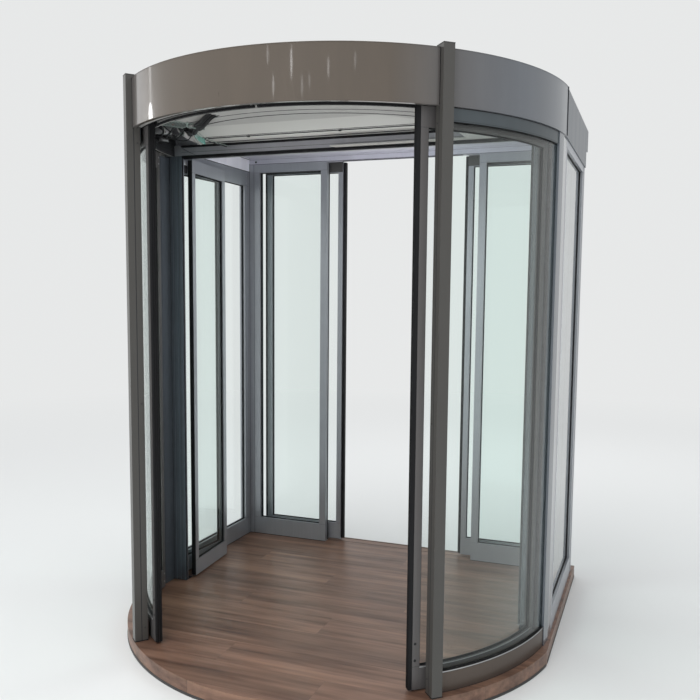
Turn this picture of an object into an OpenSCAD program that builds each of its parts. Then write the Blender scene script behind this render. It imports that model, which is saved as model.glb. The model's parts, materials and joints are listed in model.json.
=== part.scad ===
// Half-round automatic sliding door entrance with a square lobby behind it.
// The drum's vertical axis is the origin, the curved front faces -Y, and z = 0 is
// the underside of the floor deck. Millimetres, degrees.

/* [Drum] */
// outer radius of the curved fascia
drum_r = 1020; // [900:5:1200]
// clear height from the deck to the underside of the fascia
clear_h = 2200; // [2000:10:2500]
// height of the curved fascia
fascia_h = 202; // [150:2:320]
// sheet thickness of the fascia and its returns
fascia_t = 5; // [3:1:8]
// wall thickness of the header ring
ring_t = 6; // [4:1:10]
// radial width of the header ring
ring_w = 206; // [180:2:260]
// curved angle from the front to the middle of a front post
post_angle = 41; // [36:0.5:46]

/* [Front posts] */
// face width of a front post
post_w = 44; // [36:1:60]
// depth of a front post
post_d = 56; // [44:1:80]
// how far a front post stands proud of the fascia
post_proud = 25; // [10:1:40]
// how far a front post rises over the fascia
post_rise = 10; // [0:1:30]

/* [Curved walls] */
// height of the curved bottom rail
rail_h = 85; // [60:1:140]
// height of the curved top rail
top_rail_h = 50; // [30:1:100]
// radial width of both curved rails
rail_w = 32; // [28:1:60]
// thickness of the fixed curved glass
curved_glass_t = 10; // [8:1:14]

/* [Curved leaves] */
// angle from the front to the rubber nose when the door stands open
open_angle = 36; // [28:0.5:38]
// thickness of a curved leaf
leaf_t = 28; // [24:1:44]
// gap between a curved leaf and the fixed rails
leaf_gap = 8; // [6:1:20]
// face width of the leaf stiles
leaf_stile = 30; // [24:1:50]
// height of the leaf bottom rail
leaf_rail = 92; // [60:1:140]
// height of the leaf top rail
leaf_top = 70; // [40:1:110]
// gap between the leaves and the deck
floor_gap = 8; // [6:1:15]
// depth of the rubber nose
nose_d = 14; // [8:1:20]
// thickness of the leaf glass
leaf_glass_t = 8; // [6:1:12]

/* [Portal] */
// distance of the portal front from the drum axis
portal_y = 72; // [40:1:160]
// depth of the portal posts and beam
portal_d = 58; // [45:1:90]
// height of the portal beam
beam_h = 51; // [40:1:100]
// depth of the folding leaves' track box behind the beam
track_box_d = 56; // [40:1:80]
// width of a portal post with its jamb
portal_post_w = 133; // [120:1:200]
// depth of the portal post's slim inner edge
portal_edge_d = 20; // [12:1:40]
// how far the portal post steps back behind its inner edge
portal_step = 33; // [12:1:60]
// forward reach of the jamb that ends the curved wall
jamb_reach = 103; // [60:1:130]
// width of the jamb inside the drum's radius
jamb_w = 70; // [50:1:110]

/* [Lobby] */
// how far the lobby's side walls stand inside the fascia's outer face
lobby_inset = 10; // [6:1:30]
// thickness of the lobby side walls
side_t = 40; // [30:1:60]
// distance of the rear wall's inner face from the drum axis
rear_y = 817; // [600:1:1200]
// thickness of the rear fixed frames and corner posts
rear_t = 45; // [35:1:60]
// rise of the lobby side panels over the clear height
side_rise = 52; // [20:2:60]
// rise of the rear fixed panels over the clear height
rear_rise = 94; // [70:2:110]
// height of the lobby ceiling over the rear fixed panels
ceiling_rise = 38; // [20:1:50]
// face width of the slim fixed stiles
stile_w = 40; // [30:1:60]
// height of the side panel bottom rail
side_rail = 104; // [60:1:160]
// height of the side panel top rail
side_top = 87; // [40:1:120]
// width of a rear fixed panel
rear_fixed_w = 484; // [440:1:500]
// height of a rear fixed panel's bottom rail
rear_foot = 105; // [60:1:140]
// height of a rear fixed panel's top rail
rear_head = 48; // [40:1:100]
// width of a corner post's rear leg
corner_w = 70; // [50:1:120]
// width of a corner post's side leg
corner_d = 20; // [15:1:100]
// thickness of the flat glass
flat_glass_t = 8; // [6:1:12]

/* [Rear leaves] */
// how far an open rear leaf shows past its fixed panel
rear_show = 76; // [50:1:100]
// overlap of a closed rear leaf behind its fixed panel
rear_overlap = 65; // [42:1:80]
// half gap left for the rubber between the closed rear leaves
rear_meet = 21; // [18:1:30]
// thickness of a rear leaf
rear_leaf_t = 40; // [30:1:50]
// gap between a rear leaf and the fixed frames
rear_gap = 20; // [10:1:30]
// how far the rear leaves rise behind the rear header's lower edge
rear_leaf_rise = 4; // [0:1:10]
// face width of a rear leaf's stiles
rear_stile = 30; // [24:1:50]
// height of a rear leaf's bottom rail
rear_leaf_foot = 97; // [60:1:140]
// height of a rear leaf's top rail
rear_leaf_head = 60; // [40:1:100]

/* [Folding leaves] */
// width of a folding leaf
fold_w = 384; // [340:1:420]
// thickness of a folding leaf
fold_t = 24; // [20:1:30]
// how far the folded leaves stand proud of the portal posts
fold_proud = 20; // [0:1:30]
// face width of a folding leaf's stiles
fold_stile = 34; // [24:1:50]
// height of a folding leaf's bottom rail
fold_foot = 81; // [60:1:120]
// height of a folding leaf's top rail
fold_head = 64; // [40:1:90]
// thickness of the folding leaves' glass
fold_glass_t = 6; // [5:1:8]
// gap between the folded leaves and what stands beside them
fold_gap = 1.5; // [1:0.1:2]
// gap between the folding leaves and the portal beam
fold_drop = 9; // [7:1:12]
// height of a folding leaf's hinge above its bottom edge
hinge_in = 220; // [150:10:300]

/* [Floor deck] */
// thickness of the floor deck
deck_h = 65; // [30:1:120]
// margin of the deck outside the posts
deck_margin = 3; // [0:1:20]

/* [Hidden] */
$fn = 96;
metal = [0.44, 0.43, 0.41];
silver = [0.60, 0.61, 0.64];
glass = [0.75, 0.88, 0.86, 0.35];
// hairline between two pieces that seat on each other
seat = 0.3;
// depth that glass enters its frame
bite = 9;
top_z = deck_h + clear_h + fascia_h;
under_z = deck_h + clear_h;
ring_out = drum_r - 24;
ring_in = ring_out - ring_w;
ring_z0 = under_z + 6;
ring_z1 = top_z - 6;
rail_out = drum_r - 8;
rail_in = rail_out - rail_w;
glass_r = rail_out - curved_glass_t - 8;
leaf_out = rail_in - leaf_gap;
leaf_in = leaf_out - leaf_t;
slot_out = leaf_out + leaf_gap;
slot_in = leaf_in - 11;
post_out = drum_r + post_proud;
post_in = post_out - post_d;
post_clear = post_w / 2 + seat;
jamb_y = portal_y + jamb_reach;
jamb_in = drum_r - jamb_w;
leaf_end = 42;
leaf_z0 = deck_h + floor_gap;
leaf_z1 = ring_z0 + 34;
glass_mid = leaf_in + leaf_t / 2;
track_z = ring_z0 + 94;
wheel_r = 16;
wheel_w = 12;
ceiling_z = ring_z0 + 34;
ceiling_r = 0.62 * drum_r;
ceiling_c = 0.178 * drum_r;
ceiling_front = 0.676 * drum_r;
ceiling_rear = 0.314 * drum_r;
header_d = 123;
lobby_half = drum_r - lobby_inset;
portal_half = lobby_half - portal_post_w;
side_h = clear_h + side_rise;
rear_h = clear_h + rear_rise;
fixed_in = lobby_half - corner_w;
rear_half = fixed_in - rear_fixed_w;
rear_open_half = rear_half - rear_show;
rear_leaf_w = rear_half + rear_overlap - rear_meet;
rear_leaf_h = rear_h + rear_leaf_rise;
slide_y0 = rear_y + rear_t + rear_gap;
rear_track_z = deck_h + rear_h + 26;
side_w = rear_y - corner_d + portal_y - portal_d - 2 * seat;
fold_h = clear_h + 7 - floor_gap - fold_drop;
fold_room = portal_post_w + fold_proud - side_t - 2 * fold_t - 3 * fold_gap;
fold_lean = asin(fold_room / (2 * fold_w));

// turn a copy to the other side of the door
module other_side() {
    mirror([1, 0, 0])
        children();
}

// ring profile swept from angle a0 to a1, counted from the front towards +X
module sweep(a0, a1) {
    rotate([0, 0, a0 - 90])
        rotate_extrude(angle = a1 - a0, $fn = 240)
            children();
}

// ring sector with a plain rectangular section
module ring_sector(r0, r1, z0, z1, a0, a1) {
    sweep(a0, a1)
        translate([r0, z0])
            square([r1 - r0, z1 - z0]);
}

// block of a front post, grown by g on every side
module post_block(g) {
    rotate([0, 0, post_angle - 90])
        translate([post_in - g, -post_w / 2 - g, deck_h - g])
            cube([post_d + 2 * g, post_w + 2 * g, top_z + post_rise - deck_h + 2 * g]);
}

// half space behind the plane y = -d
module behind(d) {
    translate([-2 * drum_r, -d, -10])
        cube([4 * drum_r, 3 * drum_r, top_z + 200]);
}

// flat glazed frame standing in the XZ plane, lower left front corner at the origin
module frame(w, h, t, stile, foot, head, gt) {
    difference() {
        cube([w, t, h]);
        translate([stile, -1, foot])
            cube([w - 2 * stile, t + 2, h - foot - head]);
        translate([stile - bite - seat, t / 2 - gt / 2 - seat, foot - bite - seat])
            cube([w - 2 * stile + 2 * bite + 2 * seat, gt + 2 * seat,
                h - foot - head + 2 * bite + 2 * seat]);
    }
}

// pane that fills such a frame
module pane(w, h, t, stile, foot, head, gt) {
    translate([stile - bite, t / 2 - gt / 2, foot - bite])
        cube([w - 2 * stile + 2 * bite, gt, h - foot - head + 2 * bite]);
}

module floor_deck() {
    r = post_out + deck_margin;
    x = drum_r + deck_margin;
    color([0.45, 0.34, 0.27])
        linear_extrude(deck_h)
            union() {
                intersection() {
                    circle(r, $fn = 240);
                    translate([-x, -2 * r])
                        square([2 * x, 2 * r]);
                }
                translate([-x, -1])
                    square([2 * x, rear_y + header_d + 5]);
            }
}

module front_post_right() {
    color(metal)
        rotate([0, 0, post_angle - 90])
            translate([post_in, -post_w / 2, deck_h])
                difference() {
                    cube([post_d, post_w, top_z + post_rise - deck_h]);
                    translate([glass_r - post_in - 1, post_w - bite - seat, rail_h - 20])
                        cube([curved_glass_t + 2, bite + 1, clear_h - rail_h - top_rail_h + 40]);
                }
}

module front_post_left() {
    other_side()
        front_post_right();
}

// folded sheet of the fascia: outer skin with a return at the top and the bottom
module fascia_profile() {
    polygon([[drum_r, under_z], [drum_r, top_z], [ring_out + seat, top_z],
        [ring_out + seat, top_z - fascia_t], [drum_r - fascia_t, top_z - fascia_t],
        [drum_r - fascia_t, under_z + fascia_t], [rail_out - 6, under_z + fascia_t],
        [rail_out - 6, under_z]]);
}

module fascia_front() {
    color(metal)
        difference() {
            sweep(-post_angle, post_angle)
                fascia_profile();
            post_block(seat);
            other_side()
                post_block(seat);
        }
}

module fascia_right() {
    color(metal)
        difference() {
            sweep(post_angle, 90)
                fascia_profile();
            post_block(seat);
            behind(portal_y);
        }
}

module fascia_left() {
    other_side()
        fascia_right();
}

// channel that carries both curved leaves, with the track ledge inside its slot
module header_ring() {
    z0 = ring_z0;
    z1 = ring_z1;
    t = ring_t;
    color(silver)
        difference() {
            sweep(-90, 90)
                polygon([[ring_out, z0], [ring_out, z1], [ring_in, z1], [ring_in, z0 + 60],
                    [ring_in + t, z0 + 60], [ring_in + t, z1 - t], [slot_in - t, z1 - t],
                    [slot_in - t, z0], [slot_in, z0], [slot_in, track_z - t],
                    [slot_in + 16, track_z - t], [slot_in + 16, track_z + 2],
                    [slot_in + 13, track_z + 2], [slot_in + 13, track_z], [slot_in, track_z],
                    [slot_in, z1 - t], [ring_out - t, z1 - t], [ring_out - t, z0 + 60],
                    [slot_out, z0 + 60], [slot_out, z0]]);
            post_block(seat);
            other_side()
                post_block(seat);
            behind(portal_y);
        }
}

// outline of the drum ceiling
module ceiling_outline(g) {
    intersection() {
        translate([0, -ceiling_c])
            circle(ceiling_r - g, $fn = 160);
        translate([-drum_r, -ceiling_front + g])
            square([2 * drum_r, ceiling_front - ceiling_rear - g]);
    }
}

module header_cover() {
    r = slot_in - ring_t - seat;
    color(silver)
        union() {
            difference() {
                ring_sector(1, r, ring_z0, ring_z0 + 6, -27, 90);
                translate([0, 0, ring_z0 - 1])
                    linear_extrude(8)
                        ceiling_outline(8);
                translate([0, -ceiling_rear, ring_z0 + 3])
                    cube([1.16 * drum_r, 0.42 * drum_r, 12], center = true);
                behind(portal_y + seat);
            }
            translate([0, 0, ring_z0])
                linear_extrude(ceiling_z - ring_z0 - seat)
                    difference() {
                        ceiling_outline(2);
                        ceiling_outline(8);
                    }
        }
}

module ceiling_panels() {
    beam_top = under_z + 7 + beam_h + seat;
    color([0.78, 0.78, 0.77]) {
        translate([0, 0, ceiling_z])
            linear_extrude(8)
                ceiling_outline(0);
        translate([0, 0, ceiling_z + 8 + seat])
            intersection() {
                linear_extrude(60)
                    polygon([[-0.6 * drum_r, -ceiling_rear - 20], [0.6 * drum_r, -ceiling_rear - 20],
                        [0.78 * drum_r, -portal_y + 16], [-0.78 * drum_r, -portal_y + 16]]);
                rotate([90, 0, 90])
                    translate([0, 0, -drum_r])
                        linear_extrude(2 * drum_r)
                            polygon([[-ceiling_rear - 20, 0], [-ceiling_rear + 60, 0],
                                [-ceiling_rear + 60, 7], [-ceiling_rear + 120, 7],
                                [-ceiling_rear + 120, 2], [-ceiling_rear + 128, 2],
                                [-ceiling_rear + 128, beam_top - ceiling_z - 8 - seat],
                                [-portal_y + 16, beam_top - ceiling_z - 8 - seat],
                                [-portal_y + 16, beam_top - ceiling_z - 2],
                                [-ceiling_rear - 20, beam_top - ceiling_z - 2]]);
            }
        translate([-lobby_half + side_t + seat, -portal_y + portal_d + seat,
            deck_h + rear_h + ceiling_rise])
            cube([2 * (lobby_half - side_t - seat), rear_y + portal_y - portal_d - 2 * seat, 8]);
    }
}

// beam over the portal, with the folding leaves' track box behind it and a web above it
module portal_beam() {
    z0 = under_z + 7;
    y0 = -portal_y;
    y1 = -portal_y + portal_d;
    slot = y1 + track_box_d / 2;
    color(metal)
        union() {
            translate([-lobby_half, 0, 0])
                rotate([90, 0, 90])
                    linear_extrude(2 * lobby_half)
                        polygon([[y0, z0], [y1, z0], [y1, top_z], [y1 - 40, top_z],
                            [y1 - 40, z0 + beam_h], [y0, z0 + beam_h]]);
            translate([-lobby_half + side_t + seat, 0, 0])
                rotate([90, 0, 90])
                    linear_extrude(2 * (lobby_half - side_t - seat))
                        polygon([[y1 - 1, z0], [slot - 9, z0], [slot - 9, z0 + 30],
                            [slot + 9, z0 + 30], [slot + 9, z0], [y1 + track_box_d, z0],
                            [y1 + track_box_d, z0 + beam_h], [y1 - 1, z0 + beam_h]]);
        }
}

module portal_post_right() {
    groove_x = sqrt(pow(glass_r, 2) - pow(jamb_y, 2)) - 1;
    color(metal)
        translate([0, 0, deck_h])
            union() {
                linear_extrude(clear_h + 7 - seat)
                    polygon([[portal_half, -portal_y], [lobby_half, -portal_y],
                        [lobby_half, -portal_y + portal_d],
                        [portal_half + portal_step, -portal_y + portal_d],
                        [portal_half + portal_step, -portal_y + portal_edge_d],
                        [portal_half, -portal_y + portal_edge_d]]);
                linear_extrude(clear_h - seat)
                    difference() {
                        intersection() {
                            circle(drum_r - 4, $fn = 240);
                            translate([jamb_in, -jamb_y])
                                square([lobby_half - jamb_in, jamb_reach + 1]);
                        }
                        translate([groove_x, -jamb_y - 1])
                            square([curved_glass_t + 4, bite + 1 + seat]);
                    }
            }
}

module portal_post_left() {
    other_side()
        portal_post_right();
}

module curved_bottom_rail_right() {
    z = deck_h;
    g = glass_r;
    color(metal)
        difference() {
            sweep(post_angle, 90)
                polygon([[rail_in, z], [rail_out, z], [rail_out, z + rail_h],
                    [g + curved_glass_t + seat, z + rail_h],
                    [g + curved_glass_t + seat, z + rail_h - 20], [g - seat, z + rail_h - 20],
                    [g - seat, z + rail_h], [rail_in + 8, z + rail_h],
                    [rail_in + 8, z + rail_h - 5], [rail_in + 4, z + rail_h - 5],
                    [rail_in + 4, z + rail_h], [rail_in, z + rail_h]]);
            post_block(seat);
            behind(jamb_y + seat);
        }
}

module curved_bottom_rail_left() {
    other_side()
        curved_bottom_rail_right();
}

module curved_top_rail_right() {
    z1 = ring_z0 - seat;
    z0 = under_z - top_rail_h;
    g = glass_r;
    color(metal)
        difference() {
            sweep(post_angle, 90)
                polygon([[rail_in, z0], [g - seat, z0], [g - seat, z0 + 20],
                    [g + curved_glass_t + seat, z0 + 20], [g + curved_glass_t + seat, z0],
                    [rail_out, z0], [rail_out, under_z - seat], [ring_out, under_z - seat],
                    [ring_out, z1], [rail_in, z1]]);
            post_block(seat);
            behind(jamb_y + seat);
        }
}

module curved_top_rail_left() {
    other_side()
        curved_top_rail_right();
}

module curved_glass_right() {
    a0 = post_angle + asin((post_w / 2 - bite) / glass_r);
    color(glass)
        difference() {
            ring_sector(glass_r, glass_r + curved_glass_t, deck_h + rail_h - 20 + seat,
                under_z - top_rail_h + 20 - seat, a0, 90);
            behind(jamb_y - bite);
        }
}

module curved_glass_left() {
    other_side()
        curved_glass_right();
}

// place a flat frame drawn in XZ against the inside of the right side wall
module on_side_wall() {
    translate([lobby_half, -portal_y + portal_d + seat, deck_h])
        rotate([0, 0, 90])
            children();
}

module side_frame_right() {
    color(silver)
        on_side_wall()
            frame(side_w, side_h - seat, side_t, stile_w, side_rail, side_top, flat_glass_t);
}

module side_frame_left() {
    other_side()
        side_frame_right();
}

module side_glass_right() {
    color(glass)
        on_side_wall()
            pane(side_w, side_h - seat, side_t, stile_w, side_rail, side_top, flat_glass_t);
}

module side_glass_left() {
    other_side()
        side_glass_right();
}

module side_header_right() {
    x0 = lobby_half - side_t;
    y0 = -portal_y + seat;
    y1 = rear_y + rear_t;
    y2 = rear_y + header_d;
    z0 = deck_h + side_h;
    z1 = deck_h + rear_h;
    color(metal)
        union() {
            translate([x0, -portal_y + portal_d + seat, z0])
                cube([side_t + seat, rear_y + portal_y - portal_d - 2 * seat, top_z - z0]);
            translate([lobby_half + seat, 0, 0])
                rotate([90, 0, 90])
                    linear_extrude(fascia_t)
                        polygon([[y0, under_z], [y1, under_z], [y1, z1], [y2, z1], [y2, top_z],
                            [y0, top_z]]);
        }
}

module side_header_left() {
    other_side()
        side_header_right();
}

// box with an open slot behind it, in which the rear leaves hang
module rear_header() {
    z0 = deck_h + rear_h;
    y0 = rear_y;
    y1 = rear_y + header_d;
    color(metal)
        union() {
            translate([-lobby_half, 0, 0])
                rotate([90, 0, 90])
                    linear_extrude(2 * lobby_half)
                        polygon([[y0, z0], [y0 + rear_t, z0], [y0 + rear_t, rear_track_z - 6],
                            [y0 + rear_t + 28, rear_track_z - 6],
                            [y0 + rear_t + 28, rear_track_z + 2],
                            [y0 + rear_t + 25, rear_track_z + 2], [y0 + rear_t + 25, rear_track_z],
                            [y0 + rear_t, rear_track_z], [y0 + rear_t, top_z - 6],
                            [y1 - 6, top_z - 6], [y1 - 6, z0 + 22], [y1, z0 + 22], [y1, top_z],
                            [y0, top_z]]);
            for (x = [-lobby_half, lobby_half - 6])
                translate([x, y0 + 1, z0 + 22])
                    cube([6, header_d - 1, top_z - z0 - 22]);
        }
}

module corner_post_right() {
    color(silver)
        union() {
            translate([fixed_in, rear_y, deck_h])
                cube([corner_w, rear_t, rear_h - seat]);
            translate([lobby_half - side_t, rear_y - corner_d, deck_h])
                cube([side_t, corner_d + 1, side_h - seat]);
        }
}

module corner_post_left() {
    other_side()
        corner_post_right();
}

module rear_frame_right() {
    color(silver)
        translate([rear_half, rear_y, deck_h])
            frame(fixed_in - rear_half - seat, rear_h - seat, rear_t, stile_w, rear_foot,
                rear_head, flat_glass_t);
}

module rear_frame_left() {
    other_side()
        rear_frame_right();
}

module rear_glass_right() {
    color(glass)
        translate([rear_half, rear_y, deck_h])
            pane(fixed_in - rear_half - seat, rear_h - seat, rear_t, stile_w, rear_foot,
                rear_head, flat_glass_t);
}

module rear_glass_left() {
    other_side()
        rear_glass_right();
}

// the two folded leaves of the right side: the free leaf and the pivot leaf
fold_near = portal_half - fold_proud + fold_gap;
fold_meet = fold_near + fold_w * sin(fold_lean) + fold_t * cos(fold_lean) + fold_gap;
fold_wall = fold_meet + fold_t * cos(fold_lean) + fold_w * sin(fold_lean);
fold_y = -portal_y + portal_d + 8;

module fold_free() {
    translate([fold_near, fold_y, leaf_z0])
        rotate([0, 0, 90 - fold_lean])
            translate([0, -fold_t, 0])
                children();
}

module fold_pivot() {
    translate([fold_wall, fold_y, leaf_z0])
        rotate([0, 0, 90 + fold_lean])
            children();
}

// distance of the pins from a folded leaf's near edge, under the track slot
pin_in = (track_box_d / 2 - 8 + fold_t / 2 * sin(fold_lean)) / cos(fold_lean);

// guide pin in the track slot over the near end of a folded leaf
module fold_pin() {
    translate([pin_in, fold_t / 2, fold_h - 20]) {
        cylinder(h = 45, r = 5, $fn = 32);
        translate([0, 0, 32])
            cylinder(h = 14, r = 9 - seat, $fn = 32);
    }
}

module folding_leaves_right() {
    color(silver)
        union() {
            fold_free() {
                frame(fold_w, fold_h, fold_t, fold_stile, fold_foot, fold_head, fold_glass_t);
                fold_pin();
            }
            fold_pivot() {
                frame(fold_w, fold_h, fold_t, fold_stile, fold_foot, fold_head, fold_glass_t);
                fold_pin();
                translate([pin_in, fold_t / 2, -floor_gap + seat])
                    cylinder(h = floor_gap + 5, r = 8, $fn = 32);
            }
            for (z = [hinge_in, fold_h / 2, fold_h - hinge_in])
                translate([fold_meet - fold_gap / 2 - fold_t * 0.8, fold_y + fold_w * cos(fold_lean) - 3,
                    leaf_z0 + z - 50])
                    cube([fold_t * 1.6, 7, 100]);
        }
}

module folding_leaves_left() {
    other_side()
        folding_leaves_right();
}

module folding_glass_right() {
    color(glass) {
        fold_free()
            pane(fold_w, fold_h, fold_t, fold_stile, fold_foot, fold_head, fold_glass_t);
        fold_pivot()
            pane(fold_w, fold_h, fold_t, fold_stile, fold_foot, fold_head, fold_glass_t);
    }
}

module folding_glass_left() {
    other_side()
        folding_glass_right();
}

// angle that a length s covers on the leaf's outer face
function arc(s) = s / leaf_out * 180 / PI;

leaf_a0 = open_angle + arc(nose_d);
leaf_a1 = open_angle + leaf_end;

// one hanger with its wheel on the curved track, at angle a
module curved_hanger(a) {
    rotate([0, 0, a - 90]) {
        translate([slot_in + 22, -30, leaf_z1 - 10])
            cube([6, 60, track_z + wheel_r + 14 - leaf_z1 + 10]);
        translate([slot_in + 1, 0, track_z + wheel_r + seat])
            rotate([0, 90, 0])
                union() {
                    cylinder(h = wheel_w - 1, r = wheel_r, $fn = 48);
                    cylinder(h = 24, r = 5, $fn = 24);
                }
    }
}

module curved_leaf_right() {
    color(silver)
        union() {
            difference() {
                ring_sector(leaf_in, leaf_out, leaf_z0, leaf_z1, leaf_a0, leaf_a1);
                ring_sector(leaf_in - 1, leaf_out + 1, leaf_z0 + leaf_rail, under_z - leaf_top,
                    leaf_a0 + arc(leaf_stile), leaf_a1 - arc(leaf_stile));
                ring_sector(glass_mid - leaf_glass_t / 2 - seat, glass_mid + leaf_glass_t / 2 + seat,
                    leaf_z0 + leaf_rail - bite - seat, under_z - leaf_top + bite + seat,
                    leaf_a0 + arc(leaf_stile - bite - seat), leaf_a1 - arc(leaf_stile - bite - seat));
            }
            curved_hanger(leaf_a0 + 8);
            curved_hanger(leaf_a1 - 8);
        }
}

module curved_leaf_left() {
    other_side()
        curved_leaf_right();
}

module curved_leaf_glass_right() {
    color(glass)
        ring_sector(glass_mid - leaf_glass_t / 2, glass_mid + leaf_glass_t / 2,
            leaf_z0 + leaf_rail - bite, under_z - leaf_top + bite,
            leaf_a0 + arc(leaf_stile - bite), leaf_a1 - arc(leaf_stile - bite));
}

module curved_leaf_glass_left() {
    other_side()
        curved_leaf_glass_right();
}

module curved_leaf_nose_right() {
    color([0.05, 0.05, 0.05])
        ring_sector(leaf_in + 1, leaf_out - 1, leaf_z0, leaf_z1 - 12, open_angle,
            leaf_a0 - arc(seat));
}

module curved_leaf_nose_left() {
    other_side()
        curved_leaf_nose_right();
}

// one wheel of a rear leaf on the straight track, at x
module straight_wheel(x) {
    translate([x, rear_y + rear_t + 12, rear_track_z + wheel_r + seat])
        rotate([-90, 0, 0])
            union() {
                cylinder(h = wheel_w, r = wheel_r, $fn = 48);
                cylinder(h = 28, r = 5, $fn = 24);
            }
}

module sliding_leaf_right() {
    z = deck_h + rear_leaf_h;
    color(silver)
        union() {
            translate([rear_open_half, slide_y0, leaf_z0])
                frame(rear_leaf_w, rear_leaf_h - floor_gap, rear_leaf_t, rear_stile, rear_leaf_foot,
                    rear_leaf_head, flat_glass_t);
            translate([rear_open_half + 4, rear_y + rear_t + 36, z - 10])
                cube([rear_leaf_w - 8, 6, rear_track_z + wheel_r + 14 - z + 10]);
            straight_wheel(rear_open_half + 80);
            straight_wheel(rear_open_half + rear_leaf_w - 80);
        }
}

module sliding_leaf_left() {
    other_side()
        sliding_leaf_right();
}

module sliding_leaf_glass_right() {
    color(glass)
        translate([rear_open_half, slide_y0, leaf_z0])
            pane(rear_leaf_w, rear_leaf_h - floor_gap, rear_leaf_t, rear_stile, rear_leaf_foot,
                rear_leaf_head, flat_glass_t);
}

module sliding_leaf_glass_left() {
    other_side()
        sliding_leaf_glass_right();
}

floor_deck();
front_post_left();
front_post_right();
fascia_front();
fascia_left();
fascia_right();
header_ring();
header_cover();
ceiling_panels();
portal_beam();
portal_post_left();
portal_post_right();
curved_bottom_rail_left();
curved_bottom_rail_right();
curved_top_rail_left();
curved_top_rail_right();
curved_glass_left();
curved_glass_right();
side_frame_left();
side_frame_right();
side_glass_left();
side_glass_right();
side_header_left();
side_header_right();
rear_header();
corner_post_left();
corner_post_right();
rear_frame_left();
rear_frame_right();
rear_glass_left();
rear_glass_right();
folding_leaves_left();
folding_leaves_right();
folding_glass_left();
folding_glass_right();
curved_leaf_left();
curved_leaf_right();
curved_leaf_glass_left();
curved_leaf_glass_right();
curved_leaf_nose_left();
curved_leaf_nose_right();
sliding_leaf_left();
sliding_leaf_right();
sliding_leaf_glass_left();
sliding_leaf_glass_right();
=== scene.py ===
"""Looks of the half-round sliding door entrance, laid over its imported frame."""

import json
import math

import bpy
from mathutils import Matrix, Vector


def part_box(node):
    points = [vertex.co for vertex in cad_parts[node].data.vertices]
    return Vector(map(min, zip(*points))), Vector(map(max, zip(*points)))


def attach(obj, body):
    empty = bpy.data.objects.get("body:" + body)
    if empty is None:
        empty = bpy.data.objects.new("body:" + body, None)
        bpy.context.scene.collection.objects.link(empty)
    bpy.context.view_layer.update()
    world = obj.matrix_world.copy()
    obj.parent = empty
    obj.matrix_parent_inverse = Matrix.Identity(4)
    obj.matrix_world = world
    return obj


bl_info = {
    "name": "Curved sliding door entrance",
    "version": (1, 0, 0),
    "blender": (4, 5, 0),
    "location": "View3D > Sidebar > Entrance",
    "description": "Finishes and small parts of a half-round sliding door entrance",
    "category": "Object",
}

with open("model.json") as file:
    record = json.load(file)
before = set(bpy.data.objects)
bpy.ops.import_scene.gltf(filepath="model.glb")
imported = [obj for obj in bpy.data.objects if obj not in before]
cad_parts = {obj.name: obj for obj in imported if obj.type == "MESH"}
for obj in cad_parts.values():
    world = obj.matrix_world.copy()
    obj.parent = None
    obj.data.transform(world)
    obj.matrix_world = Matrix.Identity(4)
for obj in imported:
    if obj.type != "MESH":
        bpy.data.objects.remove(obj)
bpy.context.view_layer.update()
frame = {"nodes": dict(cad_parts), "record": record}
ENTRANCE = "entrance"
SIDES = ("right", "left")
STILL = {side: ENTRANCE for side in SIDES}
CURVED_LEAF = {side: f"curved_leaf_{side}" for side in SIDES}
SLIDING_LEAF = {side: f"sliding_leaf_{side}" for side in SIDES}
FLOOR_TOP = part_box("floor_deck")[1][2]
UNDER_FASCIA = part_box("fascia_front")[0][2]
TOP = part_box("fascia_front")[1][2]
LEAF_GLASS = 0.008  # thickness of the curved leaves' panes
RAIL_STOP = 0.1757  # the curved rails end this far in front of the drum axis
FASCIA_STOP = 0.0725  # and the fascia this far
CEILING_SHIFT = 0.178  # forward shift of the ceiling's round edge, in drum radii
MILLIMETRE = 0.001
FINE = 0.0002  # edge rounding of thin lines and seams
SEAM = 0.0008  # height of the seam between a stile and a rail
BLACK = (0, 0, 0, 1)


# Settings


def length(name, description, default):
    """Length setting."""
    return bpy.props.FloatProperty(
        name=name, description=description, default=default, unit="LENGTH")


def angle(name, description, default):
    """Angle setting."""
    return bpy.props.FloatProperty(
        name=name, description=description, default=default, subtype="ANGLE")


def shade(name, description, *linear):
    """Colour setting."""
    return bpy.props.FloatVectorProperty(
        name=name, description=description, default=(*linear, 1), subtype="COLOR", size=4)


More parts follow.
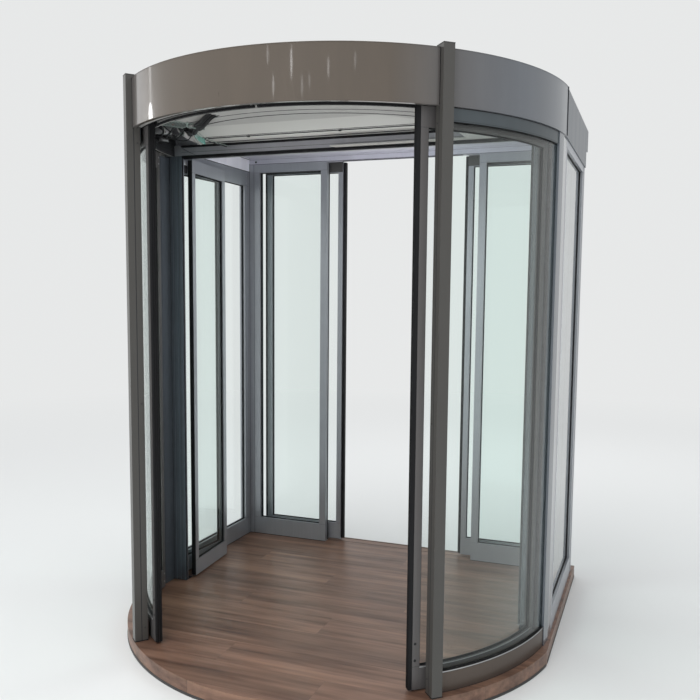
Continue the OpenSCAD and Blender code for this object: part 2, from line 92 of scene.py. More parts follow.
class EntranceSizes(bpy.types.PropertyGroup):
    """Sizes that the small parts share with the frame."""

    drum_r: length("Drum radius", "Outer radius of the fascia", 1.02)
    post_angle: angle(
        "Post angle", "Curved angle from the front to a front post", math.radians(41))
    post_width: length("Post width", "Face width of a front post", 0.044)
    post_out: length("Post reach", "Distance of a front post's face from the drum axis", 1.045)
    post_in: length("Post back", "Distance of a front post's back from the drum axis", 0.989)
    rail_out: length("Rail outside", "Outer radius of the curved rails", 1.012)
    rail_in: length("Rail inside", "Inner radius of the curved rails", 0.98)
    leaf_out: length("Leaf outside", "Outer radius of the curved leaves", 0.972)
    leaf_in: length("Leaf inside", "Inner radius of the curved leaves", 0.944)
    leaf_start: angle(
        "Leaf start", "Curved angle of the open leaf's metal edge", math.radians(36.825))
    leaf_end: angle("Leaf end", "Curved angle of the open leaf's hidden edge", math.radians(78))
    leaf_stile: length("Leaf stile", "Face width of the leaf stiles", 0.03)
    glass_r: length("Fixed glass radius", "Inner radius of the fixed curved glass", 0.994)
    glass_t: length("Fixed glass thickness", "Thickness of the fixed curved glass", 0.01)
    bite: length("Glass bite", "Depth that a pane enters its frame", 0.009)
    gasket: length("Gasket", "Visible width of a glazing gasket", 0.0035)
    fold_width: length("Folding leaf width", "Width of a folding leaf", 0.384)
    fold_thick: length("Folding leaf thickness", "Thickness of a folding leaf", 0.024)
    fold_lean: angle(
        "Folding lean", "Angle of a folded leaf from the side wall", math.asin(0.0605 / 0.768))


class EntranceColours(bpy.types.PropertyGroup):
    """Colours of the finishes, as linear values."""

    coat: shade("Fascia coat", "Warm grey paint of the fascia", 0.078, 0.0605, 0.045)
    # painted reflection: the bluish tone that the fascia shows towards its ends, painted into the
    # coat as a second colour
    coat_blue_reflection: shade(
        "Cool fascia coat", "The same paint towards the lobby, a little bluer", 0.098, 0.110, 0.128)
    post: shade("Post coat", "Grey paint of the posts", 0.061, 0.0585, 0.054)
    beam: shade("Beam coat", "Grey paint of the portal beam", 0.255, 0.255, 0.278)
    # painted shade: the portal posts get their own dark blue-grey coat, which paints in the shade
    # they stand in
    portal: shade("Portal coat", "Dark blue-grey of the portal posts", 0.096, 0.110, 0.130)
    top_rail: shade("Head rail coat", "Dark grey of the curved head rails", 0.054, 0.067, 0.075)
    side: shade("Side header coat", "Pale inner face of the side headers", 0.90, 0.90, 0.97)
    alloy: shade("Frame alloy", "Cool grey of the door frames", 0.36, 0.375, 0.405)
    lilac: shade(
        "Lobby lining", "Pale grey of the lobby's headers and ceiling", 0.47, 0.47, 0.535)
    leaf: shade("Curved leaf coat", "Grey of the curved leaves' frames", 0.125, 0.119, 0.118)
    rail: shade("Rail alloy", "Grey of the curved bottom rails", 0.103, 0.082, 0.069)
    header: shade("Header alloy", "Grey of the header channel", 0.42, 0.415, 0.40)
    ceiling: shade("Ceiling", "Off-white of the ceiling panels", 0.46, 0.46, 0.44)
    # painted glow: light that the ceiling panels give off themselves to look brighter; no lamp
    # stands behind them
    painted_glow: shade("Ceiling glow", "Light that comes through the ceiling", 0.045, 0.044, 0.041)
    wood_light: shade("Light wood", "Lighter grain of the floor boards", 0.262, 0.150, 0.101)
    wood_dark: shade("Dark wood", "Darker grain of the floor boards", 0.055, 0.026, 0.017)
    wood_joint: shade("Board joint", "Joints between the floor boards", 0.035, 0.02, 0.015)
    rubber: shade("Rubber", "Black of the seals", 0.011, 0.011, 0.012)
    brush: shade("Brush", "Black of the brush piles", 0.010, 0.010, 0.011)
    glass: shade("Glass", "Tint of the panes", 0.945, 0.981, 0.970)
    glass_shade: shade("Glass shadow", "Tint of the light behind a pane", 0.88, 0.94, 0.92)
    edge: shade("Glass edge", "Green of the ceiling's rim", 0.16, 0.42, 0.36)
    plate: shade("Box plate", "Grey-green of the drive's covers", 0.19, 0.235, 0.215)
    zinc: shade("Zinc", "Pale metal of screws and hinges", 0.55, 0.56, 0.57)
    # painted highlight: pale strips along the top edges of the rails that paint the shine of a lit
    # edge
    painted_highlight: shade("Bare edge", "Pale metal where a rail is uncoated", 0.50, 0.51, 0.52)
    black: shade("Black plastic", "Black of moulded parts", 0.02, 0.021, 0.023)
    board: shade("Circuit board", "Green of the circuit board", 0.02, 0.11, 0.06)
    red: shade("Red wire", "Red of the supply wires", 0.35, 0.02, 0.02)
    blue: shade("Post ribs", "Blue-grey of the portal posts' ribs", 0.10, 0.12, 0.15)
    white: shade("Pale plastic", "Off-white of pale plastic", 0.55, 0.56, 0.54)
    dark: shade("Dark cap", "Dark grey of caps and strips", 0.045, 0.044, 0.043)
    paper: shade("Floor", "Pale floor round the entrance", 0.80, 0.81, 0.80)
    backdrop: shade("Backdrop", "Pale background", 0.80, 0.81, 0.81)
    sky: shade("Surroundings", "Light from all round", 0.95, 0.97, 1.0)


class EntranceView(bpy.types.PropertyGroup):
    """Where the photograph was taken from."""

    place: bpy.props.FloatVectorProperty(
        name="Camera place", description="Position of the lens", size=3, unit="LENGTH",
        default=(1.41987, -3.63379, 1.5427 + 0.065))
    yaw: angle("Yaw", "Turn to the left of the Y axis", math.radians(20.432))
    pitch: angle("Pitch", "Tilt below the horizon", math.radians(5.478))
    roll: angle("Roll", "Roll of the camera", math.radians(0.563))
    focal: bpy.props.FloatProperty(
        name="Focal length", description="Focal length in photograph pixels", default=804.09)
    centre: bpy.props.FloatVectorProperty(
        name="Principal point", description="Pixel on the lens axis", size=2,
        default=(359.8, 367.12))
    width: bpy.props.FloatProperty(
        name="Picture width", description="Width of the photograph in pixels", default=700)


def sizes():
    """The shared sizes."""
    return bpy.context.scene.entrance_sizes


def colours():
    """The finish colours."""
    return bpy.context.scene.entrance_colours


# Shaping


def clear_selection():
    """Object mode with nothing selected."""
    if bpy.context.mode != "OBJECT":
        bpy.ops.object.mode_set(mode="OBJECT")
    bpy.ops.object.select_all(action="DESELECT")


def pick(*pieces):
    """Selects these objects, the first one active."""
    clear_selection()
    for piece in pieces:
        piece.select_set(True)
    bpy.context.view_layer.objects.active = pieces[0]


def named(piece, name):
    """Names a piece and its mesh."""
    piece.name = name
    piece.data.name = name
    return piece


def settle(piece):
    """Puts a piece's place into its mesh."""
    pick(piece)
    bpy.ops.object.transform_apply(location=True, rotation=True, scale=True)
    return piece


def placed(piece, matrix):
    """Moves a piece by a matrix and puts its place into its mesh."""
    piece.matrix_world = matrix @ piece.matrix_world
    return settle(piece)


def halfway(low, high):
    """Middle between two corners."""
    return [(a + b) / 2 for a, b in zip(low, high)]


def spot(radius, turn, z):
    """Point at a curved angle, counted from the front towards +X."""
    return Vector((radius * math.sin(turn), -radius * math.cos(turn), z))


def drum_place(turn):
    """Frame on the drum at a curved angle: X outwards, Y along the drum."""
    return Matrix.Rotation(turn - math.pi / 2, 4, "Z")


def soften(piece, width):
    """Rounds the sharp edges of a piece."""
    pick(piece)
    bevel = piece.modifiers.new("Edges", "BEVEL")
    bevel.width = width
    bevel.segments = 2
    bevel.limit_method = "ANGLE"
    bevel.angle_limit = math.radians(35)
    bpy.ops.object.modifier_apply(modifier=bevel.name)
    bpy.ops.object.shade_smooth_by_angle(angle=math.radians(32))
    return piece


def edit_all(piece):
    """Edit mode with the whole piece selected."""
    pick(piece)
    bpy.ops.object.mode_set(mode="EDIT")
    bpy.ops.mesh.select_all(action="SELECT")


def block(low, high, edge=0.0008):
    """Box from one corner to the other with rounded edges."""
    clear_selection()
    bpy.ops.mesh.primitive_cube_add(
        size=1, location=halfway(low, high), scale=[b - a for a, b in zip(low, high)])
    return soften(settle(bpy.context.object), edge)


def arc_bar(r0, r1, z0, z1, start, end, edge=0.0006, step=2.0):
    """Bar swept about the drum axis between two curved angles, counted from the front."""
    clear_selection()
    bpy.ops.mesh.primitive_plane_add(
        size=1, location=spot((r0 + r1) / 2, start, (z0 + z1) / 2),
        rotation=(math.pi / 2, 0, start - math.pi / 2))
    bpy.context.object.scale = (r1 - r0, z1 - z0, 1)
    piece = settle(bpy.context.object)
    edit_all(piece)
    bpy.ops.mesh.spin(
        steps=max(2, round(math.degrees(abs(end - start)) / step)), angle=start - end,
        center=(0, 0, 0), axis=(0, 0, 1))
    bpy.ops.mesh.select_all(action="SELECT")
    bpy.ops.mesh.remove_doubles(threshold=0.00001)
    bpy.ops.mesh.normals_make_consistent(inside=False)
    bpy.ops.object.mode_set(mode="OBJECT")
    return soften(piece, edge)


def rod(start, end, radius, sides=24, edge=0.0006):
    """Round bar between two points with softened ends."""
    start, end = Vector(start), Vector(end)
    run = end - start
    clear_selection()
    bpy.ops.mesh.primitive_cylinder_add(
        vertices=sides, radius=radius, depth=run.length, location=(start + end) / 2,
        rotation=run.to_track_quat("Z", "Y").to_euler())
    return soften(settle(bpy.context.object), edge)


def stud(start, end, radius=0.004, sides=16):
    """Low round head of a screw or plug."""
    return rod(start, end, radius, sides, 0.0005)


def window_bar(low, high, face, thin, edge):
    """Flat rectangular frame: a sheet inset, opened and thickened."""
    x, y, z = (b - a for a, b in zip(low, high))
    turn, spans = (((0, math.pi / 2, 0), (z, y, 1)), ((math.pi / 2, 0, 0), (x, z, 1)))[thin]
    clear_selection()
    bpy.ops.mesh.primitive_plane_add(size=1, location=halfway(low, high), rotation=turn)
    bpy.context.object.scale = spans
    piece = settle(bpy.context.object)
    edit_all(piece)
    bpy.ops.mesh.inset(thickness=face)
    bpy.ops.mesh.delete(type="FACE")
    bpy.ops.object.mode_set(mode="OBJECT")
    depth = piece.modifiers.new("Depth", "SOLIDIFY")
    depth.thickness = (x, y)[thin]
    depth.offset = 0
    bpy.ops.object.modifier_apply(modifier=depth.name)
    return soften(piece, edge)


def wire(points, radius):
    """Round wire through a few points."""
    curve = bpy.data.curves.new("wire", "CURVE")
    curve.dimensions = "3D"
    curve.bevel_depth = radius
    curve.bevel_resolution = 3
    curve.use_fill_caps = True
    spline = curve.splines.new("BEZIER")
    spline.bezier_points.add(len(points) - 1)
    for knot, point in zip(spline.bezier_points, points):
        knot.co = point
        knot.handle_left_type = "AUTO"
        knot.handle_right_type = "AUTO"
    spline.resolution_u = 6
    piece = bpy.data.objects.new("wire", curve)
    bpy.context.scene.collection.objects.link(piece)
    pick(piece)
    bpy.ops.object.convert(target="MESH")
    piece = bpy.context.object
    bpy.ops.object.shade_smooth()
    return piece


def joined(name, pieces):
    """One named object out of one or more."""
    pick(*pieces)
    if len(pieces) > 1:
        bpy.ops.object.join()
    return named(bpy.context.object, name)


def mirror_copy(piece, name):
    """Copy with its own mesh on the left side of the entrance."""
    pick(piece)
    bpy.ops.object.duplicate()
    twin = named(placed(bpy.context.object, Matrix.Scale(-1, 4, (1, 0, 0))), name)
    edit_all(twin)
    bpy.ops.mesh.normals_make_consistent(inside=False)
    bpy.ops.object.mode_set(mode="OBJECT")
    return twin


def dress(piece, body, material):
    """Gives a piece its finish and the body it rides on."""
    piece.data.materials.clear()
    piece.data.materials.append(material)
    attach(piece, body)


# Node groups and finishes

PATTERN = {}
FINISH = {}


def feed(tree, value, socket):
    """Links a socket, or sets a number, vector or colour."""
    if hasattr(value, "links"):
        tree.links.new(value, socket)
    else:
        socket.default_value = value


def add(tree, kind, **values):
    """Node with named settings, and inputs fed by sockets or values."""
    node = tree.nodes.new(f"ShaderNode{kind}")
    for key, value in values.items():
        if hasattr(node, key):
            setattr(node, key, value)
        else:
            feed(tree, value, node.inputs[key.replace("_", " ")])
    return node


def put(tree, node, **values):
    """Feeds inputs of a node by name."""
    for key, value in values.items():
        feed(tree, value, node.inputs[key.replace("_", " ")])


def pairwise(tree, node, first, second):
    """Feeds the first two inputs of a maths node."""
    for socket, value in zip(node.inputs, (first, second)):
        if value is not None:
            feed(tree, value, socket)
    return node.outputs


def maths(tree, operation, first, second=None, clamp=False):
    """Math node fed by sockets or numbers."""
    node = add(tree, "Math", operation=operation, use_clamp=clamp)
    return pairwise(tree, node, first, second)[0]


def vectors(tree, operation, first, second=None, **values):
    """Outputs of a vector maths node."""
    return pairwise(tree, add(tree, "VectorMath", operation=operation, **values), first, second)


def plus(tree, first, second, clamp=False):
    """Sum of two values."""
    return maths(tree, "ADD", first, second, clamp)


def minus(tree, first, second):
    """Difference of two values."""
    return maths(tree, "SUBTRACT", first, second)


def times(tree, first, second):
    """Product of two values."""
    return maths(tree, "MULTIPLY", first, second)


def spread(tree, value, low, high, to_low=0.0, to_high=1.0):
    """Maps a value from one range to another."""
    return add(tree, "MapRange", Value=value, From_Min=low, From_Max=high,
               To_Min=to_low, To_Max=to_high).outputs[0]


def noise(tree, vector, scale, detail=2, rough=0.5):
    """Noise value on a vector."""
    return add(tree, "TexNoise", Scale=scale, Detail=detail, Roughness=rough,
               Vector=vector).outputs["Fac"]


def stretched(tree, vector, scale):
    """Vector scaled differently along each axis."""
    return add(tree, "Mapping", Scale=scale, Vector=vector).outputs["Vector"]


def mixed(tree, factor, first, second, blend="MIX"):
    """Colour between two, sockets or constants."""
    node = add(tree, "Mix", data_type="RGBA", blend_type=blend, Factor=factor)
    feed(tree, first, node.inputs[6])
    feed(tree, second, node.inputs[7])
    return node.outputs[2]


def new_group(name, outputs, **inputs):
    """Shader group that takes a vector and values and puts out values."""
    group = bpy.data.node_groups.new(name, "ShaderNodeTree")
    group.interface.new_socket("Vector", in_out="INPUT", socket_type="NodeSocketVector")
    for key, value in inputs.items():
        socket = group.interface.new_socket(
            key.replace("_", " "), in_out="INPUT", socket_type="NodeSocketFloat")
        socket.default_value = value
    for label in outputs:
        group.interface.new_socket(label, in_out="OUTPUT", socket_type="NodeSocketFloat")
    return group, group.nodes.new("NodeGroupInput").outputs, group.nodes.new("NodeGroupOutput")


def handling_group():
    """Dust, wipe marks and fine drift that every finish takes a little of."""
    tree, given, out = new_group("Handling", ("Tone", "Roughness"), Dust=0.2, Drift=0.1)
    place = given["Vector"]
    cloud = noise(tree, place, 2.3, 4, 0.55)
    wipe = noise(tree, stretched(tree, place, (9, 9, 1.6)), 1.4, 5, 0.6)
    speck = noise(tree, place, 160)
    drift = times(tree, minus(tree, cloud, 0.5), given["Drift"])
    dusty = times(tree, spread(tree, wipe, 0.45, 0.8), given["Dust"])
    grain = times(tree, spread(tree, speck, 0.55, 0.8), 0.04)
    put(tree, out,
        Tone=plus(tree, plus(tree, 1.0, drift), minus(tree, dusty, grain)),
        Roughness=plus(tree, times(tree, dusty, 0.35),
                       times(tree, minus(tree, wipe, 0.5), 0.12)))
    return tree


def drawn_lines_group():
    """Fine lines left along an extruded or brushed surface."""
    tree, given, out = new_group(
        "Drawn lines", ("Lines",), Along_X=1.0, Along_Y=1.0, Along_Z=1.0)
    pack = add(tree, "CombineXYZ", **{axis: given[f"Along {axis}"] for axis in "XYZ"})
    scaled = vectors(tree, "MULTIPLY", given["Vector"], pack.outputs[0])[0]
    coarse = noise(tree, scaled, 1.0, 3, 0.7)
    fine = noise(tree, scaled, 3.7, 2, 0.6)
    put(tree, out, Lines=plus(tree, times(tree, coarse, 0.6), times(tree, fine, 0.4)))
    return tree


def boards_group():
    """Laminate boards laid along X: tone, grain height and joints."""
    tree, given, out = new_group("Boards", ("Grain", "Board tone", "Joint", "Height"),
                                 Board_width=0.192, Board_length=1.285)
    parts = add(tree, "SeparateXYZ", Vector=given["Vector"]).outputs
    row_at = maths(tree, "DIVIDE", plus(tree, parts["Y"], 5.043), given["Board width"])
    row = maths(tree, "FLOOR", row_at)
    shift = maths(tree, "FRACT", times(tree, row, 0.387))
    run_at = plus(
        tree, maths(tree, "DIVIDE", plus(tree, parts["X"], 7.31), given["Board length"]), shift)
    key = add(tree, "CombineXYZ", X=row, Y=maths(tree, "FLOOR", run_at)).outputs[0]
    dice = add(tree, "TexWhiteNoise", noise_dimensions="3D", Vector=key).outputs
    # each board reads its own stretch of grain
    slip = vectors(tree, "SCALE", dice["Color"], Scale=17.0)[0]
    moved = vectors(tree, "ADD", given["Vector"], slip)[0]
    wave = noise(tree, stretched(tree, moved, (0.7, 4, 4)), 1.0)
    lift = add(tree, "CombineXYZ", Y=times(tree, wave, 0.03)).outputs[0]
    wander = vectors(tree, "ADD", moved, lift)[0]
    broad, figure, pores = (
        noise(tree, stretched(tree, wander, stretch), *look)
        for stretch, look in (((1.7, 15, 15), (1.0, 4, 0.55)), ((1.6, 42, 42), (1.2, 4, 0.6)),
                              ((5, 330, 330), (1.2, 3, 0.6))))
    grain = plus(tree, times(tree, spread(tree, broad, 0.34, 0.66), 0.56),
                 times(tree, spread(tree, figure, 0.34, 0.66), 0.30))
    across, along = (
        maths(tree, "ABSOLUTE", minus(tree, maths(tree, "FRACT", at), 0.5))
        for at in (row_at, run_at))
    joint = maths(tree, "MAXIMUM", spread(tree, across, 0.493, 0.498),
                  spread(tree, along, 0.499, 0.4997))
    put(tree, out, Board_tone=dice["Value"], Joint=joint,
        Grain=plus(tree, grain, times(tree, spread(tree, pores, 0.32, 0.68), 0.14)),
        Height=minus(tree, times(tree, pores, 0.25), joint))
    return tree


def start_material(name):
    """Material with its tree, its shader and object coordinates."""
    material = bpy.data.materials.new(name)
    material.use_nodes = True
    tree = material.node_tree
    place = add(tree, "TexCoord").outputs["Object"]
    return material, tree, tree.nodes["Principled BSDF"], place


def use_group(tree, pattern, vector, **values):
    """Outputs of a node group placed in a material."""
    return add(tree, "Group", node_tree=PATTERN[pattern], Vector=vector, **values).outputs


def relief(tree, shader, height, distance):
    """Bump from a height value."""
    bump = add(tree, "Bump", Distance=distance, Strength=1.0, Height=height)
    put(tree, shader, Normal=bump.outputs["Normal"])


def tinted(tree, colour, tone):
    """Colour brightened or darkened by a tone near 1."""
    grey = add(tree, "CombineColor", Red=tone, Green=tone, Blue=tone).outputs[0]
    return mixed(tree, 1.0, colour, grey, "MULTIPLY")


def zone_mask(tree, place, axis, start, end):
    """0 before one place and 1 past another, along an axis or outwards from the middle."""
    along = add(tree, "SeparateXYZ", Vector=place).outputs[axis[-1]]
    if axis.startswith("out"):
        along = maths(tree, "ABSOLUTE", along)
    return spread(tree, along, start, end)


def skin(tree, shader, place, colour, rough, grain, depth, **care):
    """Handled colour and roughness over a fine grain, which most finishes share."""
    worn = use_group(tree, "handling", place, **care)
    put(tree, shader, Base_Color=tinted(tree, colour, worn["Tone"]),
        Roughness=plus(tree, rough, worn["Roughness"], clamp=True))
    relief(tree, shader, noise(tree, place, grain), depth)


def coated(name, colour, rough=0.3, metal=0.0, coat=0.25, dust=0.12, zone=None, painted_glow=None):
    """Powder coat or paint with fine orange peel and faint wipe marks, and a painted glow where one
    is given.
    """
    material, tree, shader, place = start_material(name)
    if zone:
        axis, start, end, other = zone
        mask = zone_mask(tree, place, axis, start, end)
        colour = mixed(tree, mask, colour, other)
        # painted glow: the zone's first colour also gives off light
        if painted_glow:
            put(tree, shader, Emission_Color=mixed(tree, mask, painted_glow, BLACK),
                Emission_Strength=1.0)
    skin(tree, shader, place, colour, rough, 420, 0.00006, Dust=dust, Drift=0.12)
    put(tree, shader, Metallic=metal, Coat_Weight=coat, Coat_Roughness=0.05)
    return material


def drawn(name, colour, along, rough=0.34, metal=0.85):
    """Anodised or brushed alloy with lines along its length."""
    material, tree, shader, place = start_material(name)
    worn = use_group(tree, "handling", place, Dust=0.1, Drift=0.14)
    x, y, z = along
    lines = use_group(tree, "lines", place, Along_X=x, Along_Y=y, Along_Z=z)[0]
    tone = times(tree, worn["Tone"], spread(tree, lines, 0.3, 0.7, 0.93, 1.07))
    put(tree, shader, Metallic=metal, Base_Color=tinted(tree, colour, tone),
        Roughness=plus(tree, plus(tree, rough, worn["Roughness"]),
                       spread(tree, lines, 0.3, 0.7, -0.05, 0.06), clamp=True))
    relief(tree, shader, lines, 0.00004)
    return material


def matt(name, colour, rough, specular, grain, depth, **care):
    """Rubber or plastic with a low sheen."""
    material, tree, shader, place = start_material(name)
    skin(tree, shader, place, colour, rough, grain, depth, **care)
    put(tree, shader, Specular_IOR_Level=specular)
    return material


def rubbery(name, colour, rough=0.55):
    """Black rubber with a faint bloom."""
    return matt(name, colour, rough, 0.2, 900, 0.00005, Dust=0.5, Drift=0.3)


def moulded(name, colour, rough=0.45):
    """Moulded plastic with a fine skin."""
    return matt(name, colour, rough, 0.3, 1300, 0.00003, Dust=0.2, Drift=0.1)


def pane_glass(name, colour, shadow):
    """Clear float glass that lets light through, with faint wipe marks."""
    material, tree, shader, place = start_material(name)
    worn = use_group(tree, "handling", place, Dust=0.08, Drift=0.0)
    put(tree, shader, Base_Color=colour, Transmission_Weight=1.0, IOR=1.25,
        Roughness=spread(tree, worn["Roughness"], 0.0, 0.06, 0.0, 0.004))
    clear = add(tree, "BsdfTransparent", Color=shadow)
    blend = add(tree, "MixShader", Fac=add(tree, "LightPath").outputs["Is Shadow Ray"])
    feed(tree, shader.outputs[0], blend.inputs[1])
    feed(tree, clear.outputs[0], blend.inputs[2])
    put(tree, tree.nodes["Material Output"], Surface=blend.outputs[0])
    return material


def board_floor(name, light, dark, joint):
    """Laminate boards with their own grain, tone and tight joints."""
    material, tree, shader, place = start_material(name)
    boards = use_group(tree, "boards", place)
    worn = use_group(tree, "handling", place, Dust=0.1, Drift=0.1)
    tone = times(tree, spread(tree, boards["Board tone"], 0, 1, 0.90, 1.12), worn["Tone"])
    toned = tinted(tree, mixed(tree, boards["Grain"], dark, light), tone)
    put(tree, shader,
        Base_Color=mixed(tree, times(tree, boards["Joint"], 0.35), toned, joint),
        Roughness=plus(tree, spread(tree, boards["Grain"], 0, 1, 0.42, 0.36),
                       worn["Roughness"], clamp=True))
    relief(tree, shader, boards["Height"], 0.00025)
    return material


def make_finishes():
    """Every finish of the entrance, by name."""
    tint = colours()
    PATTERN.update(handling=handling_group(), lines=drawn_lines_group(), boards=boards_group())
    upright, round_drum = (260, 260, 2.0), (40, 40, 400)
    return {
        # the fascia's ends blend into a bluer coat, a painted reflection
        "coat": coated("fascia_coat", tint.coat, coat=0.7,
                       zone=("out X", 0.50, 0.90, tint.coat_blue_reflection)),
        "post": coated("post_coat", tint.post, rough=0.34, metal=0.15, coat=0.15),
        "beam": coated("beam_coat", tint.beam, rough=0.36, metal=0.2, coat=0.1),
        # portal posts: dark coat with painted shade
        "portal": coated("portal_shaded_coat", tint.portal, rough=0.2, metal=0.2, coat=0.5),
        "top_rail": coated("top_rail_coat", tint.top_rail, rough=0.36, metal=0.15, coat=0.1),
        # the outer faces of the side headers and the back of the rear header take the same painted
        # reflection blue
        "side": coated("side_header_coat", tint.side, rough=0.4, metal=0.2, coat=0.1,
                       zone=("out X", 1.0098, 1.0102, tint.coat_blue_reflection)),
        "lilac": coated("lobby_lining", tint.lilac, rough=0.38, metal=0.3, coat=0.1,
                        zone=("Y", 0.9396, 0.9399, tint.coat_blue_reflection)),
        "alloy": drawn("frame_alloy", tint.alloy, upright, metal=0.6),
        "leaf": drawn("leaf_alloy", tint.leaf, upright, rough=0.38, metal=0.4),
        "rail": drawn("rail_alloy", tint.rail, round_drum, rough=0.36, metal=0.5),
        "header": drawn("header_alloy", tint.header, round_drum, rough=0.5, metal=0.2),
        # ceiling panels carry a painted glow in front of the lobby lining
        "ceiling": coated("ceiling_panel", tint.ceiling, rough=0.5, coat=0.0, dust=0.05,
                          zone=("Y", -0.06, -0.05, tint.lilac), painted_glow=tint.painted_glow),
        "wood": board_floor("deck_boards", tint.wood_light, tint.wood_dark, tint.wood_joint),
        "rubber": rubbery("seal_rubber", tint.rubber),
        "brush": rubbery("brush_pile", tint.brush, rough=0.85),
        "glass": pane_glass("pane_glass", tint.glass, tint.glass_shade),
        "edge": coated("glass_edge", tint.edge, rough=0.15, coat=0.6),
        "plate": coated("box_plate", tint.plate, rough=0.4, coat=0.1, dust=0.3),
        "zinc": drawn("screw_zinc", tint.zinc, (120, 120, 120), rough=0.3),
        "painted_highlight": drawn("painted_highlight_edge", tint.painted_highlight, round_drum, metal=0.6),
        "black": moulded("black_plastic", tint.black),
        "board": moulded("circuit_board", tint.board, rough=0.35),
        "red": moulded("red_wire", tint.red),
        "blue": moulded("grey_wire", tint.blue),
        "white": moulded("pale_plastic", tint.white),
        "dark": moulded("dark_cap", tint.dark),
    }


SLOT_FINISH = {
    "deck_wood": "wood",
    "post_metal": "post",
    "fascia_metal": "coat",
    "header_metal": "header",
    "ceiling_white": "ceiling",
    "rail_metal": "rail",
    "frame_metal": "alloy",
    "clear_glass": "glass",
    "black_rubber": "rubber",
}

OWN_FINISH = {"portal_beam": "beam", "rear_header": "lilac"} | {
    f"{node}_{side}": finish for side in SIDES
    for node, finish in (("portal_post", "portal"), ("curved_leaf", "leaf"),
                         ("curved_top_rail", "top_rail"), ("side_header", "side"))
}


class ENTRANCE_OT_finishes(bpy.types.Operator):
    """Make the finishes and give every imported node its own"""

    bl_idname = "entrance.finishes"
    bl_label = "Finishes"

    def execute(self, context):
        FINISH.update(make_finishes())
        for part in frame["record"]["subparts"]:
            node = frame["nodes"][part["node"]]
            node.data.materials.clear()
            finish = OWN_FINISH.get(part["node"], SLOT_FINISH[part["material_slot"]])
            node.data.materials.append(FINISH[finish])
        return {"FINISHED"}


# Fitting


def one(name, pieces, finish, body=ENTRANCE, turn=None):
    """Joins pieces into one object, turns it into place and dresses it."""
    piece = joined(name, pieces)
    if turn is not None:
        placed(piece, turn)
    dress(piece, body, FINISH[finish])


def pair(name, pieces, finish, bodies=STILL, turn=None):
    """Joins right-hand pieces, dresses them and adds the mirror copy on the left."""
    piece = joined(f"{name}_right", pieces)
    if turn is not None:
        placed(piece, turn)
    twin = mirror_copy(piece, f"{name}_left")
    dress(piece, bodies["right"], FINISH[finish])
    dress(twin, bodies["left"], FINISH[finish])


def blocks(rows):
    """Boxes from rows of low corner, high corner and edge rounding."""
    return [block(low, high, edge) for low, high, edge in rows]


def arcs(rows, start, end):
    """Arc bars between two angles from rows of radii, levels and edge rounding."""
    return [arc_bar(*row[:4], start, end, edge=row[4]) for row in rows]


def rail_levels():
    """Top of the curved bottom rails and underside of the curved top rails."""
    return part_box("curved_bottom_rail_right")[1][2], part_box("curved_top_rail_right")[0][2]


# Glazing


def flat_gaskets(name, node, body, proud=0.004):
    """Black gasket on both faces of an upright pane, round its daylight opening."""
    low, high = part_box(node)
    thin = 0 if high[0] - low[0] < high[1] - low[1] else 1
    frames = []
    for face, outward in ((high[thin], 1), (low[thin], -1)):
        inner = [a + sizes().bite for a in low]
        outer = [b - sizes().bite for b in high]
        inner[thin], outer[thin] = sorted((face, face + outward * proud))
        frames.append(window_bar(inner, outer, sizes().gasket, thin, edge=0.0008))
    one(name, frames, "rubber", body)


def curved_gaskets(r0, r1, z0, z1, start, end, proud=0.004):
    """Gasket strips on both faces of a curved pane."""
    width = sizes().gasket
    turn = width / r0
    return [
        arc_bar(inner, outer, *strip)
        for inner, outer in ((r0 - proud, r0), (r1, r1 + proud))
        for strip in ((z0, z0 + width, start, end), (z1 - width, z1, start, end),
                      (z0, z1, start, start + turn), (z0, z1, end - turn, end))
    ]


class ENTRANCE_OT_gaskets(bpy.types.Operator):
    """Glazing gaskets of every flat and curved pane"""

    bl_idname = "entrance.gaskets"
    bl_label = "Glazing gaskets"

    def execute(self, context):
        s = sizes()
        for side in SIDES:
            flat_gaskets(f"side_gasket_{side}", f"side_glass_{side}", ENTRANCE)
            flat_gaskets(f"rear_gasket_{side}", f"rear_glass_{side}", ENTRANCE)
            flat_gaskets(f"sliding_gasket_{side}", f"sliding_leaf_glass_{side}", SLIDING_LEAF[side])
        low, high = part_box("curved_leaf_glass_right")
        middle = (s.leaf_in + s.leaf_out) / 2
        stile = s.leaf_stile / s.leaf_out
        strips = curved_gaskets(middle - LEAF_GLASS / 2, middle + LEAF_GLASS / 2, low[2] + s.bite,
                                high[2] - s.bite, s.leaf_start + stile, s.leaf_end - stile)
        pair("curved_leaf_gasket", strips, "rubber", CURVED_LEAF)
        rail_top, rail_under = rail_levels()
        start = s.post_angle + math.asin(s.post_width / 2 / s.glass_r) + 0.001
        end = math.acos(RAIL_STOP / s.rail_in) - 0.001
        outside = s.glass_r + s.glass_t
        beads = [
            arc_bar(inner, outer, *levels, start, end)
            for inner, outer in ((s.glass_r - 0.005, s.glass_r - 0.0002),
                                 (outside + 0.0002, outside + 0.005))
            for levels in ((rail_top - 0.002, rail_top + 0.0022),
                           (rail_under - 0.0022, rail_under + 0.002))
        ]
        pair("curved_glass_bead", beads, "rubber")
        return {"FINISHED"}


# Leaves


